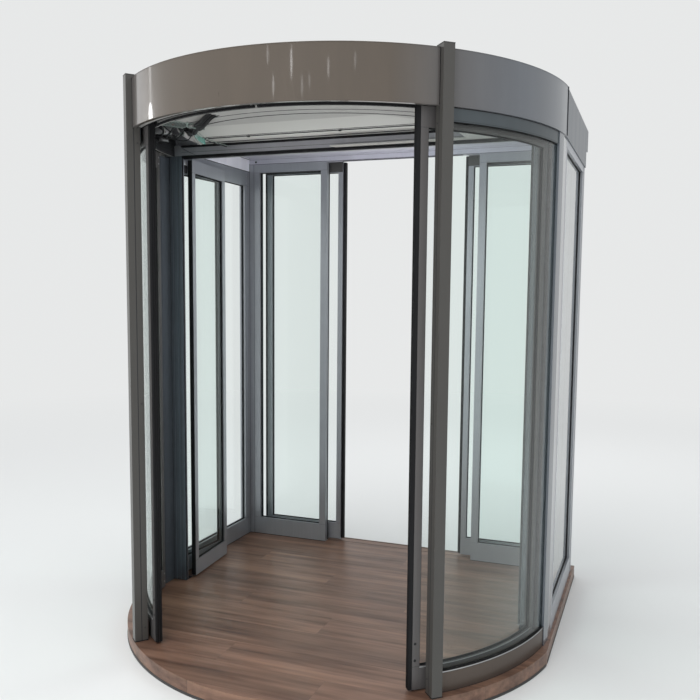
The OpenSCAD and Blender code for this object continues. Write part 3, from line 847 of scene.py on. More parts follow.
class ENTRANCE_OT_curved_leaves(bpy.types.Operator):
    """Nose lips, floor brush, screws, plugs, seams and painted highlight edge of the curved leaves
    """

    bl_idname = "entrance.curved_leaves"
    bl_label = "Curved leaf trim"

    def execute(self, context):
        s = sizes()
        low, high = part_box("curved_leaf_nose_right")
        bottom = low[2]
        nose = math.radians(36)
        half = s.leaf_stile / s.leaf_out / 2
        lips = [
            arc_bar(s.leaf_in + 0.0035 + shift, s.leaf_in + 0.0065 + shift, bottom + 0.001,
                    high[2] - 0.001, nose - 0.0032, nose + 0.002, edge=0.0008)
            for shift in (0.0, 0.009, 0.018)
        ]
        pair("nose_lips", lips, "rubber", CURVED_LEAF)
        brush = arc_bar(s.leaf_in + 0.009, s.leaf_out - 0.009, FLOOR_TOP + 0.0015,
                        bottom + 0.004, s.leaf_start + 0.004, s.leaf_end - 0.004)
        pair("curved_leaf_brush", [brush], "brush", CURVED_LEAF)
        screws = [
            stud(spot(s.leaf_in + 0.001, at, z), spot(s.leaf_in - 0.0012, at, z))
            for at in (s.leaf_start + half, s.leaf_end - half)
            for z in (bottom + 0.03, bottom + 0.07, UNDER_FASCIA - 0.05, UNDER_FASCIA - 0.02)
        ]
        pair("curved_leaf_screws", screws, "zinc", CURVED_LEAF)
        plug_at = s.leaf_start + 0.011
        plugs = [
            stud(spot(s.leaf_out - 0.001, plug_at, z), spot(s.leaf_out + 0.0011, plug_at, z),
                 0.0055)
            for z in (FLOOR_TOP + 0.125, FLOOR_TOP + 0.192)
        ]
        pair("curved_leaf_plugs", plugs, "black", CURVED_LEAF)
        seams = [
            arc_bar(s.leaf_in - 0.0004, s.leaf_out + 0.0004, z, z + SEAM, *run, edge=FINE)
            for z in (bottom + 0.092, UNDER_FASCIA - 0.07)
            for run in ((s.leaf_start, s.leaf_start + 2 * half),
                        (s.leaf_end - 2 * half, s.leaf_end))
        ]
        pair("curved_leaf_seams", seams, "black", CURVED_LEAF)
        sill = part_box("curved_leaf_glass_right")[0][2] + s.bite
        # pale strip just below the leaf's glass: a painted highlight on the bottom rail's top edge
        edge = arc_bar(s.leaf_out - 0.0004, s.leaf_out + 0.0007, sill - 0.0050, sill - 0.0016,
                       s.leaf_start + 2 * half, s.leaf_end - 2 * half, edge=0.0004)
        pair("curved_leaf_highlight", [edge], "painted_highlight", CURVED_LEAF)
        return {"FINISHED"}


class ENTRANCE_OT_sliding_leaves(bpy.types.Operator):
    """Meeting seals, brushes, a dark top strip with painted shade, carriage cover, screws and seams
    of the rear leaves
    """

    bl_idname = "entrance.sliding_leaves"
    bl_label = "Rear leaf trim"

    def execute(self, context):
        low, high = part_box("sliding_leaf_right")
        glass_low, glass_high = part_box("sliding_leaf_glass_right")
        near, far, bottom = low[0], high[0], low[2]
        middle = (glass_low[1] + glass_high[1]) / 2
        top = glass_high[2] + 0.051
        for name, finish, corner, other, edge in (
                ("meeting_seal", "rubber", (near - 0.018, middle - 0.013, bottom + 0.002),
                 (near + 0.001, middle + 0.013, top - 0.003), 0.004),
                ("trailing_seal", "rubber", (far - 0.001, middle - 0.012, bottom + 0.002),
                 (far + 0.018, middle + 0.012, top - 0.006), 0.004),
                # dark strip over the front of the leaf's top rail: a brush strip, kept dark as
                # painted shade under the rear header
                ("leaf_top_brush_and_shade", "dark", (near + 0.001, middle - 0.0216, top - 0.058),
                 (far - 0.001, middle - 0.0196, top - 0.001), 0.0006),
                ("sliding_leaf_brush", "brush", (near + 0.01, middle - 0.008, FLOOR_TOP + 0.0062),
                 (far - 0.01, middle + 0.008, bottom + 0.003), 0.0008),
                ("carriage_cover", "black", (near + 0.004, middle - 0.0065, top - 0.001),
                 (far - 0.004, middle - 0.0035, top + 0.075), 0.0008)):
            pair(name, [block(corner, other, edge)], finish, SLIDING_LEAF)
        screws = [
            stud((x, middle + 0.0195, z), (x, middle + 0.0212, z))
            for x in (near + 0.015, far - 0.015)
            for z in (bottom + 0.03, bottom + 0.07, top - 0.045, top - 0.02)
        ]
        pair("sliding_leaf_screws", screws, "zinc", SLIDING_LEAF)
        seams = [
            block((x, middle - 0.0204, z), (x + 0.03, middle + 0.0204, z + SEAM), FINE)
            for z in (bottom + 0.097, top - 0.06) for x in (near, far - 0.03)
        ]
        pair("sliding_leaf_seams", seams, "black", SLIDING_LEAF)
        return {"FINISHED"}


# Drum


class ENTRANCE_OT_posts(bpy.types.Operator):
    """Caps, cover seams, foot beads and plugs of the front posts"""

    bl_idname = "entrance.posts"
    bl_label = "Front posts"

    def execute(self, context):
        s = sizes()
        half = s.post_width / 2
        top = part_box("front_post_right")[1][2]
        turn = drum_place(s.post_angle)
        cap = block((s.post_in - 0.001, -half - 0.001, top - 0.0006),
                    (s.post_out + 0.001, half + 0.001, top + 0.003), 0.0012)
        pair("post_cap", [cap], "dark", turn=turn)
        foot = block((s.post_in - 0.0015, -half - 0.0015, FLOOR_TOP),
                     (s.post_out + 0.0015, half + 0.0015, FLOOR_TOP + 0.004), 0.0015)
        pair("post_foot_bead", [foot], "rubber", turn=turn)
        # the post is a cover profile clipped on a core, with a groove where they meet
        seam_r = s.post_out - 0.0297
        seams = [
            block((seam_r - 0.0016, face - 0.0004, FLOOR_TOP + 0.004),
                  (seam_r + 0.0016, face + 0.0004, UNDER_FASCIA - 0.001), FINE)
            for face in (-half, half)
        ]
        pair("post_seams", seams, "black", turn=turn)
        plug_r = s.post_in + 0.012
        plugs = [
            stud((plug_r, -half + 0.0005, z), (plug_r, -half - 0.0012, z), 0.0045)
            for z in (FLOOR_TOP + 0.06, FLOOR_TOP + 1.05, FLOOR_TOP + 2.14)
        ]
        pair("post_plugs", plugs, "dark", turn=turn)
        return {"FINISHED"}


class ENTRANCE_OT_fascia(bpy.types.Operator):
    """Hemmed lips and joint strips of the curved fascia, the joint strips also painting shade"""

    bl_idname = "entrance.fascia"
    bl_label = "Fascia"

    def execute(self, context):
        s = sizes()
        gap = (s.post_width / 2 + 0.0005) / s.drum_r
        hem = [(s.drum_r - 0.001, s.drum_r + 0.0014, z, z + 0.0028, 0.0007)
               for z in (UNDER_FASCIA - 0.0002, TOP - 0.0026)]
        end = math.acos(FASCIA_STOP / s.drum_r)
        front = arcs(hem, gap - s.post_angle, s.post_angle - gap)
        one("fascia_hems", front, "coat")
        pair("fascia_end_hems", arcs(hem, s.post_angle + gap, end), "coat")
        # black strips beside each post: joint strips that also paint the shade in the recessed gap
        # between post and fascia
        beside = s.post_width / 2 + 0.0012
        joints = [
            block((s.drum_r - 0.003, y - 0.0012, UNDER_FASCIA + 0.001),
                  (s.drum_r + 0.0004, y + 0.0012, TOP - 0.001), 0.0003)
            for y in (-beside, beside)
        ]
        pair("fascia_joint_shade", joints, "rubber", turn=drum_place(s.post_angle))
        # shadow gap where the flat lobby cladding takes over
        flat_gap = block((s.drum_r - 0.006, -FASCIA_STOP - 0.0002, UNDER_FASCIA),
                         (s.drum_r + 0.0003, 0.0013 - FASCIA_STOP, TOP), FINE)
        pair("fascia_end_gap", [flat_gap], "black")
        return {"FINISHED"}


class ENTRANCE_OT_curved_walls(bpy.types.Operator):
    """Rail lines, painted highlight edges, end plates, fixings and slot brushes of the curved walls
    """

    bl_idname = "entrance.curved_walls"
    bl_label = "Curved walls"

    def execute(self, context):
        s = sizes()
        r0, r1 = s.rail_in, s.rail_out
        rail_top, rail_under = rail_levels()
        start = s.post_angle + (s.post_width / 2 + 0.0006) / r0
        end = math.acos(RAIL_STOP / r0)
        lines = [
            (r1 - 0.0034, r1 - 0.0012, rail_top - 0.0006, rail_top + 0.0004, FINE),
            (r1 - 0.0005, r1 + 0.0003, rail_top - 0.0058, rail_top - 0.0048, FINE),
            (r1 - 0.0005, r1 + 0.0003, rail_under + 0.0040, rail_under + 0.0050, FINE),
            (r1 - 0.002, r1 + 0.0006, UNDER_FASCIA - 0.0034, UNDER_FASCIA - 0.0002, FINE),
            (r0 - 0.0004, r0 + 0.003, FLOOR_TOP, FLOOR_TOP + 0.0022, 0.0003),
            (r1 - 0.003, r1 + 0.0005, FLOOR_TOP, FLOOR_TOP + 0.0022, 0.0003),
        ]
        pair("curved_rail_lines", arcs(lines, start, end), "black")
        # pale lines on both top edges of the rails: painted highlights
        edges = [(r - 0.0006, r + 0.0006, rail_top - 0.0044, rail_top - 0.0010, 0.0004)
                 for r in (r0, r1)]
        pair("curved_rail_highlights", arcs(edges, start, end), "painted_highlight")
        plates = [
            (r1 - 0.002, r1 + 0.0011, FLOOR_TOP + 0.002, rail_top - 0.006, 0.0004),
            (r1 - 0.002, r1 + 0.0011, rail_under + 0.006, UNDER_FASCIA - 0.004, 0.0004),
        ]
        pair("rail_end_plates", arcs(plates, start - 0.0005, start + 0.0075), "dark")
        fixings = [
            rod(spot(r0 + 0.001, at, z), spot(r0 - 0.0011, at, z), 0.0042, 16, 0.0004)
            for at in (start + (end - start) * share for share in (0.12, 0.5, 0.88))
            for z in (FLOOR_TOP + 0.03, rail_under + 0.028)
        ]
        pair("curved_rail_fixings", fixings, "zinc")
        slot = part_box("header_ring")[0][2]
        piles = [(inner, outer, slot - 0.0012, slot + 0.0065, 0.0012)
                 for inner, outer in ((s.leaf_in - 0.0105, s.leaf_in - 0.0008),
                                      (s.leaf_out + 0.0008, s.leaf_out + 0.0078))]
        pair("track_slot_brushes", arcs(piles, math.radians(0.3), math.radians(80)),
             "brush")
        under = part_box("header_cover")[0][2]
        joints = arcs([(r, r + wide, under - 0.0012, under + 0.0006, 0.0003)
                       for r, wide in ((0.9262, 0.0024), (0.8590, 0.0018), (0.7962, 0.0022))],
                      math.radians(-27), math.radians(89.8))
        joints += arcs([(0.7915, 0.7935, slot - 0.0008, slot + 0.0006, 0.0003)],
                       math.radians(-84), math.radians(84))
        one("header_joints", joints, "black")
        return {"FINISHED"}


class ENTRANCE_OT_ceiling(bpy.types.Operator):
    """Edge bead, teal rim, trim line, strips and ridges of the drum ceiling"""

    bl_idname = "entrance.ceiling"
    bl_label = "Drum ceiling"

    def execute(self, context):
        s = sizes()
        reach, behind, front = (share * s.drum_r for share in (0.62, CEILING_SHIFT, 0.676))
        face = UNDER_FASCIA + 0.04
        corner = math.acos((front - behind) / reach)
        last = math.radians(100)
        side = [(reach * math.sin(a), -behind - reach * math.cos(a), face)
                for a in (last - (last - corner) * i / 14 for i in range(15))]
        outline = side + [(x, -front, face) for x in (0.22, 0.0, -0.22)]
        outline += [(-x, y, z) for x, y, z in reversed(side)]
        one("ceiling_bead", [wire([(x * 0.994, y * 0.996, z) for x, y, z in outline], 0.0026)],
            "black")
        trim = [(x * 0.965, y * 0.968 - 0.004, z + 0.0006) for x, y, z in outline]
        one("ceiling_trim", [wire(trim, 0.0016)], "plate")
        rim = arc_bar(0.6165, 0.6225, face - 0.0275, face - 0.0035, math.radians(48),
                      math.radians(80), edge=0.0015)
        pair("ceiling_rim", [rim], "edge",
             turn=Matrix.Translation((0, -behind, 0)))
        strips = [
            (0.645, -0.2870, -0.2815, 0.0052, 0.0088),
            (0.688, -0.2226, -0.2172, 0.0118, 0.0158),
            (0.76, -0.1100, -0.1060, 0.0150, 0.0190),
            (0.60, -0.3235, -0.3195, 0.0002, 0.0084),
        ]
        pieces = [block((-x, y0, face + z0), (x, y1, face + z1), 0.0004)
                  for x, y0, y1, z0, z1 in strips]
        pieces += [block((x, -0.2365, face + 0.0070), (x + 0.011, -0.2225, face + 0.0158), 0.0010)
                   for x in (0.040, -0.420, 0.480)]
        one("ceiling_strips", pieces, "black")
        one("ceiling_ridges", blocks((
            ((-0.63, -0.3120, face + 0.0052), (0.63, -0.2930, face + 0.0090), 0.0012),
            ((-0.70, -0.2140, face + 0.0122), (0.70, -0.2030, face + 0.0160), 0.0012),
        )), "white")
        return {"FINISHED"}


class ENTRANCE_OT_drive(bpy.types.Operator):
    """Door drive in the open bay of the header: control box, board, motor, belt and loom"""

    bl_idname = "entrance.drive"
    bl_label = "Header drive"

    def execute(self, context):
        self.box()
        self.board()
        self.motor()
        self.belt()
        self.looms()
        self.liner()
        self.wires()
        return {"FINISHED"}

    def box(self):
        """Folded control box with its lid, vents and terminal row."""
        turn = drum_place(math.radians(-33.5))
        one("control_box", blocks((
            ((0.806, -0.082, 2.288), (0.918, 0.082, 2.378), 0.003),
            ((0.803, -0.085, 2.283), (0.921, 0.085, 2.289), 0.0015),
        )), "plate", turn=turn)
        slots = [block((x, -0.052, 2.2822), (x + 0.004, 0.020, 2.2836), 0.0004)
                 for x in (0.818 + 0.011 * i for i in range(8))]
        terminals = block((0.812, -0.0985, 2.300), (0.910, -0.0835, 2.322), 0.001)
        one("control_box_slots", slots + [terminals], "black", turn=turn)
        keys = [block((x, -0.1005, 2.304), (x + 0.008, -0.0980, 2.315), 0.0007)
                for x in (0.8155 + 0.0118 * i for i in range(8))]
        corners = [stud((x, y, 2.2840), (x, y, 2.2812), 0.0035, 12)
                   for x in (0.811, 0.913) for y in (-0.077, 0.077)]
        one("control_box_keys", keys + corners, "zinc", turn=turn)

    def board(self):
        """Circuit board on its carrier, with chips and drums."""
        turn = drum_place(math.radians(-47.5))
        under = 2.3264
        one("board_carrier", [block((0.806, -0.066, 2.330), (0.916, 0.066, 2.352), 0.002)],
            "dark", turn=turn)
        one("circuit_board", [block((0.812, -0.060, 2.3262), (0.910, 0.060, 2.3278), 0.0003)],
            "board", turn=turn)
        chips = [
            block((x, y, 2.3262 - h), (x + wide, y + deep, under), 0.0005)
            for x, y, wide, deep, h in (
                (0.820, -0.045, 0.022, 0.030, 0.004), (0.850, -0.050, 0.014, 0.014, 0.006),
                (0.846, 0.004, 0.030, 0.024, 0.012), (0.886, -0.028, 0.012, 0.052, 0.009),
                (0.822, 0.030, 0.012, 0.018, 0.014), (0.884, 0.036, 0.016, 0.012, 0.010))
        ]
        drums = [
            rod((x, y, under), (x, y, under - h), radius, 20, 0.0008)
            for x, y, radius, h in ((0.830, 0.008, 0.008, 0.022), (0.872, -0.040, 0.006, 0.018),
                                    (0.900, 0.050, 0.005, 0.014))
        ]
        one("board_parts", chips + drums, "black", turn=turn)

    def motor(self):
        """Motor with its ribs, and the gearbox on its end."""
        turn = drum_place(math.radians(-61))
        x, z = 0.852, 2.332
        can = rod((x, -0.085, z), (x, 0.060, z), 0.031, 40, 0.003)
        ribs = [rod((x, -0.078 + 0.013 * i, z), (x, -0.074 + 0.013 * i, z), 0.0328, 40, 0.0006)
                for i in range(10)]
        one("drive_motor", [can] + ribs, "dark", turn=turn)
        one("gearbox", blocks((
            ((0.818, 0.058, 2.296), (0.892, 0.108, 2.366), 0.004),
            ((0.812, 0.104, 2.292), (0.900, 0.112, 2.392), 0.002),
        )), "zinc", turn=turn)

    def belt(self):
        """Toothed pulley and the belt along the track."""
        x, teeth_count, ridge_count = 0.884, 20, 88
        at = math.radians(-70.5)
        hub = rod((x, 0, 2.300), (x, 0, 2.336), 0.021, 40, 0.001)
        rims = [rod((x, 0, z), (x, 0, z + 0.003), 0.025, 40, 0.001) for z in (2.300, 2.333)]
        teeth = [
            placed(block((0.0205, -0.0016, 2.304), (0.0222, 0.0016, 2.332), 0.0003),
                   Matrix.Translation((x, 0, 0)) @ Matrix.Rotation(turn, 4, "Z"))
            for turn in (i * math.tau / teeth_count for i in range(teeth_count))
        ]
        one("belt_pulley", [hub] + rims + teeth, "zinc", turn=drum_place(at))
        band = arc_bar(0.9050, 0.9075, 2.306, 2.330, at, math.radians(-26), edge=0.0005)
        ridges = [
            arc_bar(0.9035, 0.9052, 2.307, 2.329, math.radians(a), math.radians(a + 0.16),
                    edge=0.0003, step=0.5)
            for a in (-70.2 + 0.5 * i for i in range(ridge_count))
        ]
        one("drive_belt", [band] + ridges, "rubber")

    def looms(self):
        """Sleeved looms along the ceiling's edge and across the bay, with their hanger."""
        behind = CEILING_SHIFT * sizes().drum_r

        def beside(radius, degrees, z):
            return spot(radius, math.radians(degrees), z) - Vector((0, behind, 0))

        sleeves = [
            wire([beside(r, first + step * i, z + rise * math.sin(i * pace + phase))
                  for i in range(count)], radius)
            for r, first, step, z, rise, pace, phase, count, radius in (
                (0.660, -70, 5, 2.3130, 0.004, 1.3, 0, 10, 0.011),
                (0.684, -66, 5, 2.3060, 0.005, 1.9, 1, 9, 0.008),
                (0.672, -60, 4, 2.2960, 0.004, 1.7, math.pi / 2, 9, 0.006))
        ]
        rings = [rod(beside(0.662, a, 2.313), beside(0.662, a + 0.5, 2.313), 0.0128, 16, 0.0008)
                 for a in (-64, -56, -48, -40, -32)]
        way = ((-12, 0.896, 2.290), (-16, 0.890, 2.268), (-21, 0.862, 2.258), (-26, 0.830, 2.256),
               (-31, 0.800, 2.262), (-37, 0.772, 2.270), (-44, 0.752, 2.284), (-51, 0.745, 2.296))
        for offset, radius in ((0.0, 0.0125), (0.022, 0.009), (-0.020, 0.010)):
            sleeves.append(wire([
                spot(r + offset * (1 - 0.2 * i), math.radians(a),
                     z + 0.006 * math.sin(2.3 * i + 60 * offset))
                for i, (a, r, z) in enumerate(way)], radius))
        one("sleeved_loom", sleeves + rings, "rubber")
        one("loom_hanger", blocks((
            ((0.800, -0.005, 2.250), (0.880, 0.005, 2.2535), 0.001),
            ((0.800, -0.005, 2.250), (0.8025, 0.005, 2.272), 0.001),
            ((0.8775, -0.005, 2.250), (0.880, 0.005, 2.272), 0.001),
        )), "plate", turn=drum_place(math.radians(-26.2)))

    def liner(self):
        """Dark ribbed liner on the ring's wall inside the bay."""
        rows = [(0.9225, 0.9258, 2.2704, 2.3850, 0.0008)]
        rows += [(0.9212, 0.9228, z, z + 0.003, 0.0006)
                 for z in (2.276, 2.290, 2.304, 2.318, 2.336, 2.354, 2.372)]
        liner = arcs(rows, math.radians(-86.4), math.radians(-40.5))
        one("bay_liner", liner, "black")

    def wires(self):
        """Loose wires between the drive parts, and their clips."""
        black = (
            ((-758, -470, 2300), (-715, -500, 2286), (-665, -545, 2292), (-640, -600, 2318)),
            ((-770, -430, 2318), (-720, -450, 2290), (-672, -500, 2284), (-600, -560, 2306)),
            ((-790, -400, 2330), (-730, -400, 2296), (-660, -430, 2288), (-606, -470, 2308)),
            ((-700, -560, 2326), (-680, -500, 2298), (-690, -430, 2290), (-720, -360, 2310)),
            ((-650, -620, 2326), (-636, -560, 2300), (-650, -480, 2292), (-700, -380, 2306)),
            ((-810, -330, 2330), (-740, -320, 2300), (-670, -340, 2294), (-612, -400, 2312)),
        )
        pale = (
            ((-760, -500, 2322), (-720, -470, 2302), (-690, -500, 2296), (-640, -580, 2320)),
            ((-775, -380, 2320), (-735, -350, 2305), (-690, -390, 2300), (-640, -420, 2316)),
        )
        red = (
            ((-560, -640, 2330), (-520, -690, 2300), (-478, -740, 2292), (-452, -786, 2312)),
            ((-600, -600, 2326), (-548, -650, 2296), (-500, -720, 2288), (-470, -780, 2310)),
        )
        for name, runs, radius, thinner, finish in (("black_wires", black, 0.0046, 0.0004, "black"),
                                                    ("pale_wires", pale, 0.0032, 0.0, "white"),
                                                    ("red_wires", red, 0.0042, 0.0, "red")):
            wires = [wire([[MILLIMETRE * a for a in point] for point in run], radius - thinner * i)
                     for i, run in enumerate(runs)]
            one(name, wires, finish)
        clips = [block((x - 0.010, y - 0.005, 2.296), (x + 0.010, y + 0.005, 2.336), 0.002)
                 for x, y in ((-0.694, -0.500), (-0.650, -0.420), (-0.742, -0.440))]
        one("loom_clips", clips, "plate")


# Portal and lobby


class ENTRANCE_OT_portal(bpy.types.Operator):
    """Brushes and groove of the portal beam, seams, ribs, brackets and seals of its posts"""

    bl_idname = "entrance.portal"
    bl_label = "Portal"

    def execute(self, context):
        front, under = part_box("portal_beam")[0][1:]
        inner = 0.877
        one("beam_brushes", blocks((
            ((-inner, front - 0.0008, under - 0.011), (inner, front + 0.020, under + 0.001), 0.001),
            ((-0.88, front - 0.0010, under + 0.0390), (0.88, front + 0.012, under + 0.0505), 0.001),
            ((-0.96, front + 0.062, under - 0.0045), (0.96, front + 0.070, under + 0.0015), 0.001),
        )), "brush")
        one("beam_groove", [block((-0.88, front - 0.0003, under + 0.0160),
                                  (0.88, front + 0.0005, under + 0.0172), 0.0001)],
            "black")
        pair("portal_post_seams", [
            block((x0, y0, FLOOR_TOP), (x1, y1, UNDER_FASCIA + rise), FINE)
            for x0, x1, y0, y1, rise in (
                (0.8965, 0.8981, front - 0.0004, front + 0.0005, 0.006),
                (0.9485, 0.9501, front - 0.0004, front + 0.0005, 0.006),
                (0.9510, 0.9526, -0.1754, -0.1748, -0.001),
                (0.9496, 0.9503, -0.1500, -0.1484, -0.001))
        ], "black")
        pair("portal_post_ribs", [
            block((x, front - 0.0012, FLOOR_TOP + 0.001),
                  (x + 0.003, front + 0.0005, UNDER_FASCIA + 0.005), 0.0006)
            for x in (0.8790, 0.9060, 0.9320)], "blue")
        bracket = block((0.880, -0.0515, 2.232), (0.906, -0.0150, 2.252), 0.002)
        screw = rod((0.893, -0.030, 2.233), (0.893, -0.030, 2.2295), 0.005, 20, 0.0006)
        pair("pivot_bracket", [bracket, screw], "zinc")
        pair("pivot_buffer", [block((0.879, -0.0510, 2.192), (0.907, -0.0170, 2.232), 0.003)],
             "rubber")
        foot = FLOOR_TOP + 0.004
        pair("portal_post_lip", blocks((
            ((inner - 0.0035, front + 0.002, foot), (inner + 0.001, front + 0.0085, UNDER_FASCIA),
             0.0015),
            ((0.950, -0.1775, foot), (0.966, -0.1748, UNDER_FASCIA - 0.002), 0.001),
        )), "rubber")
        bead = block((0.8765, -0.0725, FLOOR_TOP), (1.0095, -0.0135, FLOOR_TOP + 0.003), 0.001)
        pair("portal_foot_bead", [bead], "rubber")
        return {"FINISHED"}


class ENTRANCE_OT_folding_leaves(bpy.types.Operator):
    """Edge rubbers, gaskets, hinges, seams and floor brushes of the folded portal leaves"""

    bl_idname = "entrance.folding_leaves"
    bl_label = "Folding leaves"

    def execute(self, context):
        s = sizes()
        low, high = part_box("folding_leaves_right")
        w, t, lean = s.fold_width, s.fold_thick, s.fold_lean
        near_y = low[1] + t * math.sin(lean)
        z0, tall = FLOOR_TOP + 0.008, 2.190
        stile, foot, head = 0.034, 0.081, 0.064
        hinge_levels = (0.220, tall / 2, tall - 0.220)
        free, pivot = (
            Matrix.Translation((x, near_y, z0)) @ Matrix.Rotation(math.pi / 2 + turn, 4, "Z")
            for x, turn in ((low[0], -lean), (high[0], lean)))
        free = free @ Matrix.Translation((0, -t, 0))
        rubbers, gaskets, seams, plates = [], [], [], []
        for leaf in (free, pivot):
            rubbers += [placed(piece, leaf) for piece in blocks((
                ((-0.0026, 0.0006, 0.003), (0.0008, t - 0.0006, tall - 0.003), 0.0012),
                ((w - 0.0008, 0.003, 0.003), (w + 0.0012, t - 0.003, tall - 0.003), 0.0006),
                ((0.012, t / 2 - 0.004, -0.0063), (w - 0.012, t / 2 + 0.004, 0.002), 0.0008),
            ))]
            gaskets += [
                placed(window_bar((stile, y, foot), (w - stile, y + 0.0035, tall - head), 0.006, 1,
                                  edge=0.001), leaf)
                for y in (t / 2 + 0.003, t / 2 - 0.0065)
            ]
            seams += [
                placed(block((x, -0.0004, z), (x + stile, t + 0.0004, z + SEAM), FINE), leaf)
                for x in (0.0, w - stile) for z in (foot, tall - head)
            ]
            plates += [
                placed(stud((w - 0.016, t / 2, z + offset), (w - 0.016, t + 0.0012, z + offset),
                            0.0035, 12), leaf)
                for z in hinge_levels for offset in (-0.034, 0.034)
            ]
        pair("folding_leaf_rubbers", rubbers, "rubber")
        pair("folding_leaf_gaskets", gaskets, "rubber")
        pair("folding_leaf_seams", seams, "black")
        x = low[0] + w * math.sin(lean) + t * math.cos(lean) + 0.00075
        y = near_y + w * math.cos(lean) + 0.0052
        for z in (z0 + level for level in hinge_levels):
            plates += [rod((x, y, z + rise), (x, y, z + rise + 0.032), 0.0052)
                       for rise in (-0.050, -0.016, 0.018)]
            plates.append(rod((x, y, z - 0.0535), (x, y, z + 0.0555), 0.0036, 20, 0.001))
        pair("folding_leaf_hinges", plates, "zinc")
        return {"FINISHED"}


class ENTRANCE_OT_lobby(bpy.types.Operator):
    """Joint lines and screws of the lobby's side walls"""

    bl_idname = "entrance.lobby"
    bl_label = "Lobby walls"

    def execute(self, context):
        (x0, y0, z0), (x1, y1, z1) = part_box("side_frame_right")
        glass_low, glass_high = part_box("side_glass_right")
        bite = sizes().bite
        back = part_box("rear_frame_right")[0][1]
        lines = blocks((
            ((x0 - 0.0008, y0, z1 - 0.0006), (x0 + 0.001, back, z1 + 0.0028), 0.0003),
            ((x0 - 0.0006, back - 0.0206, FLOOR_TOP), (x0 + 0.001, back - 0.0194, z1), FINE),
            ((x0 - 0.0008, y0, FLOOR_TOP), (x0 + 0.002, back, FLOOR_TOP + 0.003), 0.0006),
            ((x0 - 0.0010, back - 0.0016, FLOOR_TOP), (x0 + 0.0004, back, z1 + 0.05), 0.0003),
            ((x1 - 0.001, y0, z1), (x1 + 0.0006, back, z1 + 0.0015), 0.0003),
            ((x0 - 0.0022, y0 + 0.1, z1 + 0.0735), (x0 + 0.0004, back, z1 + 0.0760), 0.0004),
        ))
        lines += [
            block((x0 - 0.0004, start, z - SEAM / 2), (x1 + 0.0004, end, z + SEAM / 2), FINE)
            for z in (glass_low[2] + bite, glass_high[2] - bite)
            for start, end in ((y0, glass_low[1] + bite), (glass_high[1] - bite, y1))
        ]
        pair("side_wall_lines", lines, "black")
        screws = [
            stud((face, y, z), (tip, y, z), radius)
            for y in (y0 + 0.02, y1 - 0.02)
            for z in (z0 + 0.030, z0 + 0.075, z1 - 0.070, z1 - 0.030)
            for face, tip, radius in ((x1 - 0.001, x1 + 0.0012, 0.004),
                                      (x0 + 0.001, x0 - 0.0011, 0.0034))
        ]
        pair("side_wall_screws", screws, "zinc")
        return {"FINISHED"}


class ENTRANCE_OT_rear_wall(bpy.types.Operator):
    """Header lines, seals, seams, guides and screws of the rear wall"""

    bl_idname = "entrance.rear_wall"
    bl_label = "Rear wall"

    def execute(self, context):
        self.header()
        self.frames()
        return {"FINISHED"}

    def header(self):
        """Lines, round eyes and cladding screws of the rear header."""
        (x0, front, under), (x1, back, top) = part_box("rear_header")
        lines = [
            ((-x, front + y0, under + z0), (x, front + y1, under + z1), edge)
            for x, y0, y1, z0, z1, edge in (
                (0.968, -0.0005, 0.002, 0.0008, 0.0030, 0.0003),
                (0.968, -0.0004, 0.001, 0.0290, 0.0300, FINE),
                (0.360, 0.0060, 0.014, -0.0035, 0.0010, 0.0008))
        ]
        lines += [((x0 + 0.004, back - 0.0006, z), (x1 - 0.004, back + 0.0004, z + 0.0012), FINE)
                  for z in (under + 0.052, top - 0.012)]
        one("rear_header_lines", blocks(lines), "black")
        z = under + 0.016
        one("header_eyes", [
            rod((x, front + 0.001, z), (x, front - 0.0022, z), 0.0062, 24, 0.0008)
            for x in (-0.925, 0.925)], "black")
        z = under + 0.036
        one("rear_header_screws", [
            stud((x, back - 0.001, z), (x, back + 0.0013, z), 0.0042)
            for x in (-0.95, -0.57, -0.19, 0.19, 0.57, 0.95)], "zinc")

    def frames(self):
        """Seals, seams, floor guide and corner grooves beside the rear opening."""
        (x0, y0, _), (x1, y1, z1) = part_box("rear_frame_right")
        z0, head = FLOOR_TOP, z1 - 0.004
        pair("rear_frame_seals", blocks((
            ((x0 - 0.0012, y1 - 0.0160, z0 + 0.004), (x0 + 0.003, y1 - 0.0040, head), 0.0008),
            ((x0 + 0.006, y1 - 0.0005, z0 + 0.006), (x0 + 0.013, y1 + 0.0150, head), 0.001),
            ((x1 - 0.0008, y0 - 0.0004, z0), (x1 + 0.0010, y0 + 0.001, z1), FINE),
            ((x0, y0 - 0.0008, z0), (0.969, y0 + 0.002, z0 + 0.003), 0.0006),
        )), "rubber")
        glass_low, glass_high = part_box("rear_glass_right")
        bite = sizes().bite
        pair("rear_frame_seams", [
            block((start, y0 - 0.0004, z - SEAM / 2), (end, y1 + 0.0004, z + SEAM / 2), FINE)
            for z in (glass_low[2] + bite, glass_high[2] - bite)
            for start, end in ((x0, glass_low[0] + bite), (glass_high[0] - bite, x1))
        ], "black")
        leaf_low, leaf_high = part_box("sliding_leaf_right")
        middle = (leaf_low[1] + leaf_high[1]) / 2
        pair("floor_guide", [block((x0 + 0.004, middle - 0.006, FLOOR_TOP - 0.0002),
                                   (x0 + 0.062, middle + 0.006, FLOOR_TOP + 0.0058), 0.001)],
             "zinc")
        low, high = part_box("corner_post_right")
        pair("corner_post_grooves", [
            block((high[0] - 0.0006, y, FLOOR_TOP), (high[0] + 0.0004, y + 0.0012, high[2]), 0.0001)
            for y in (low[1] + 0.004, low[1] + 0.022)], "black")


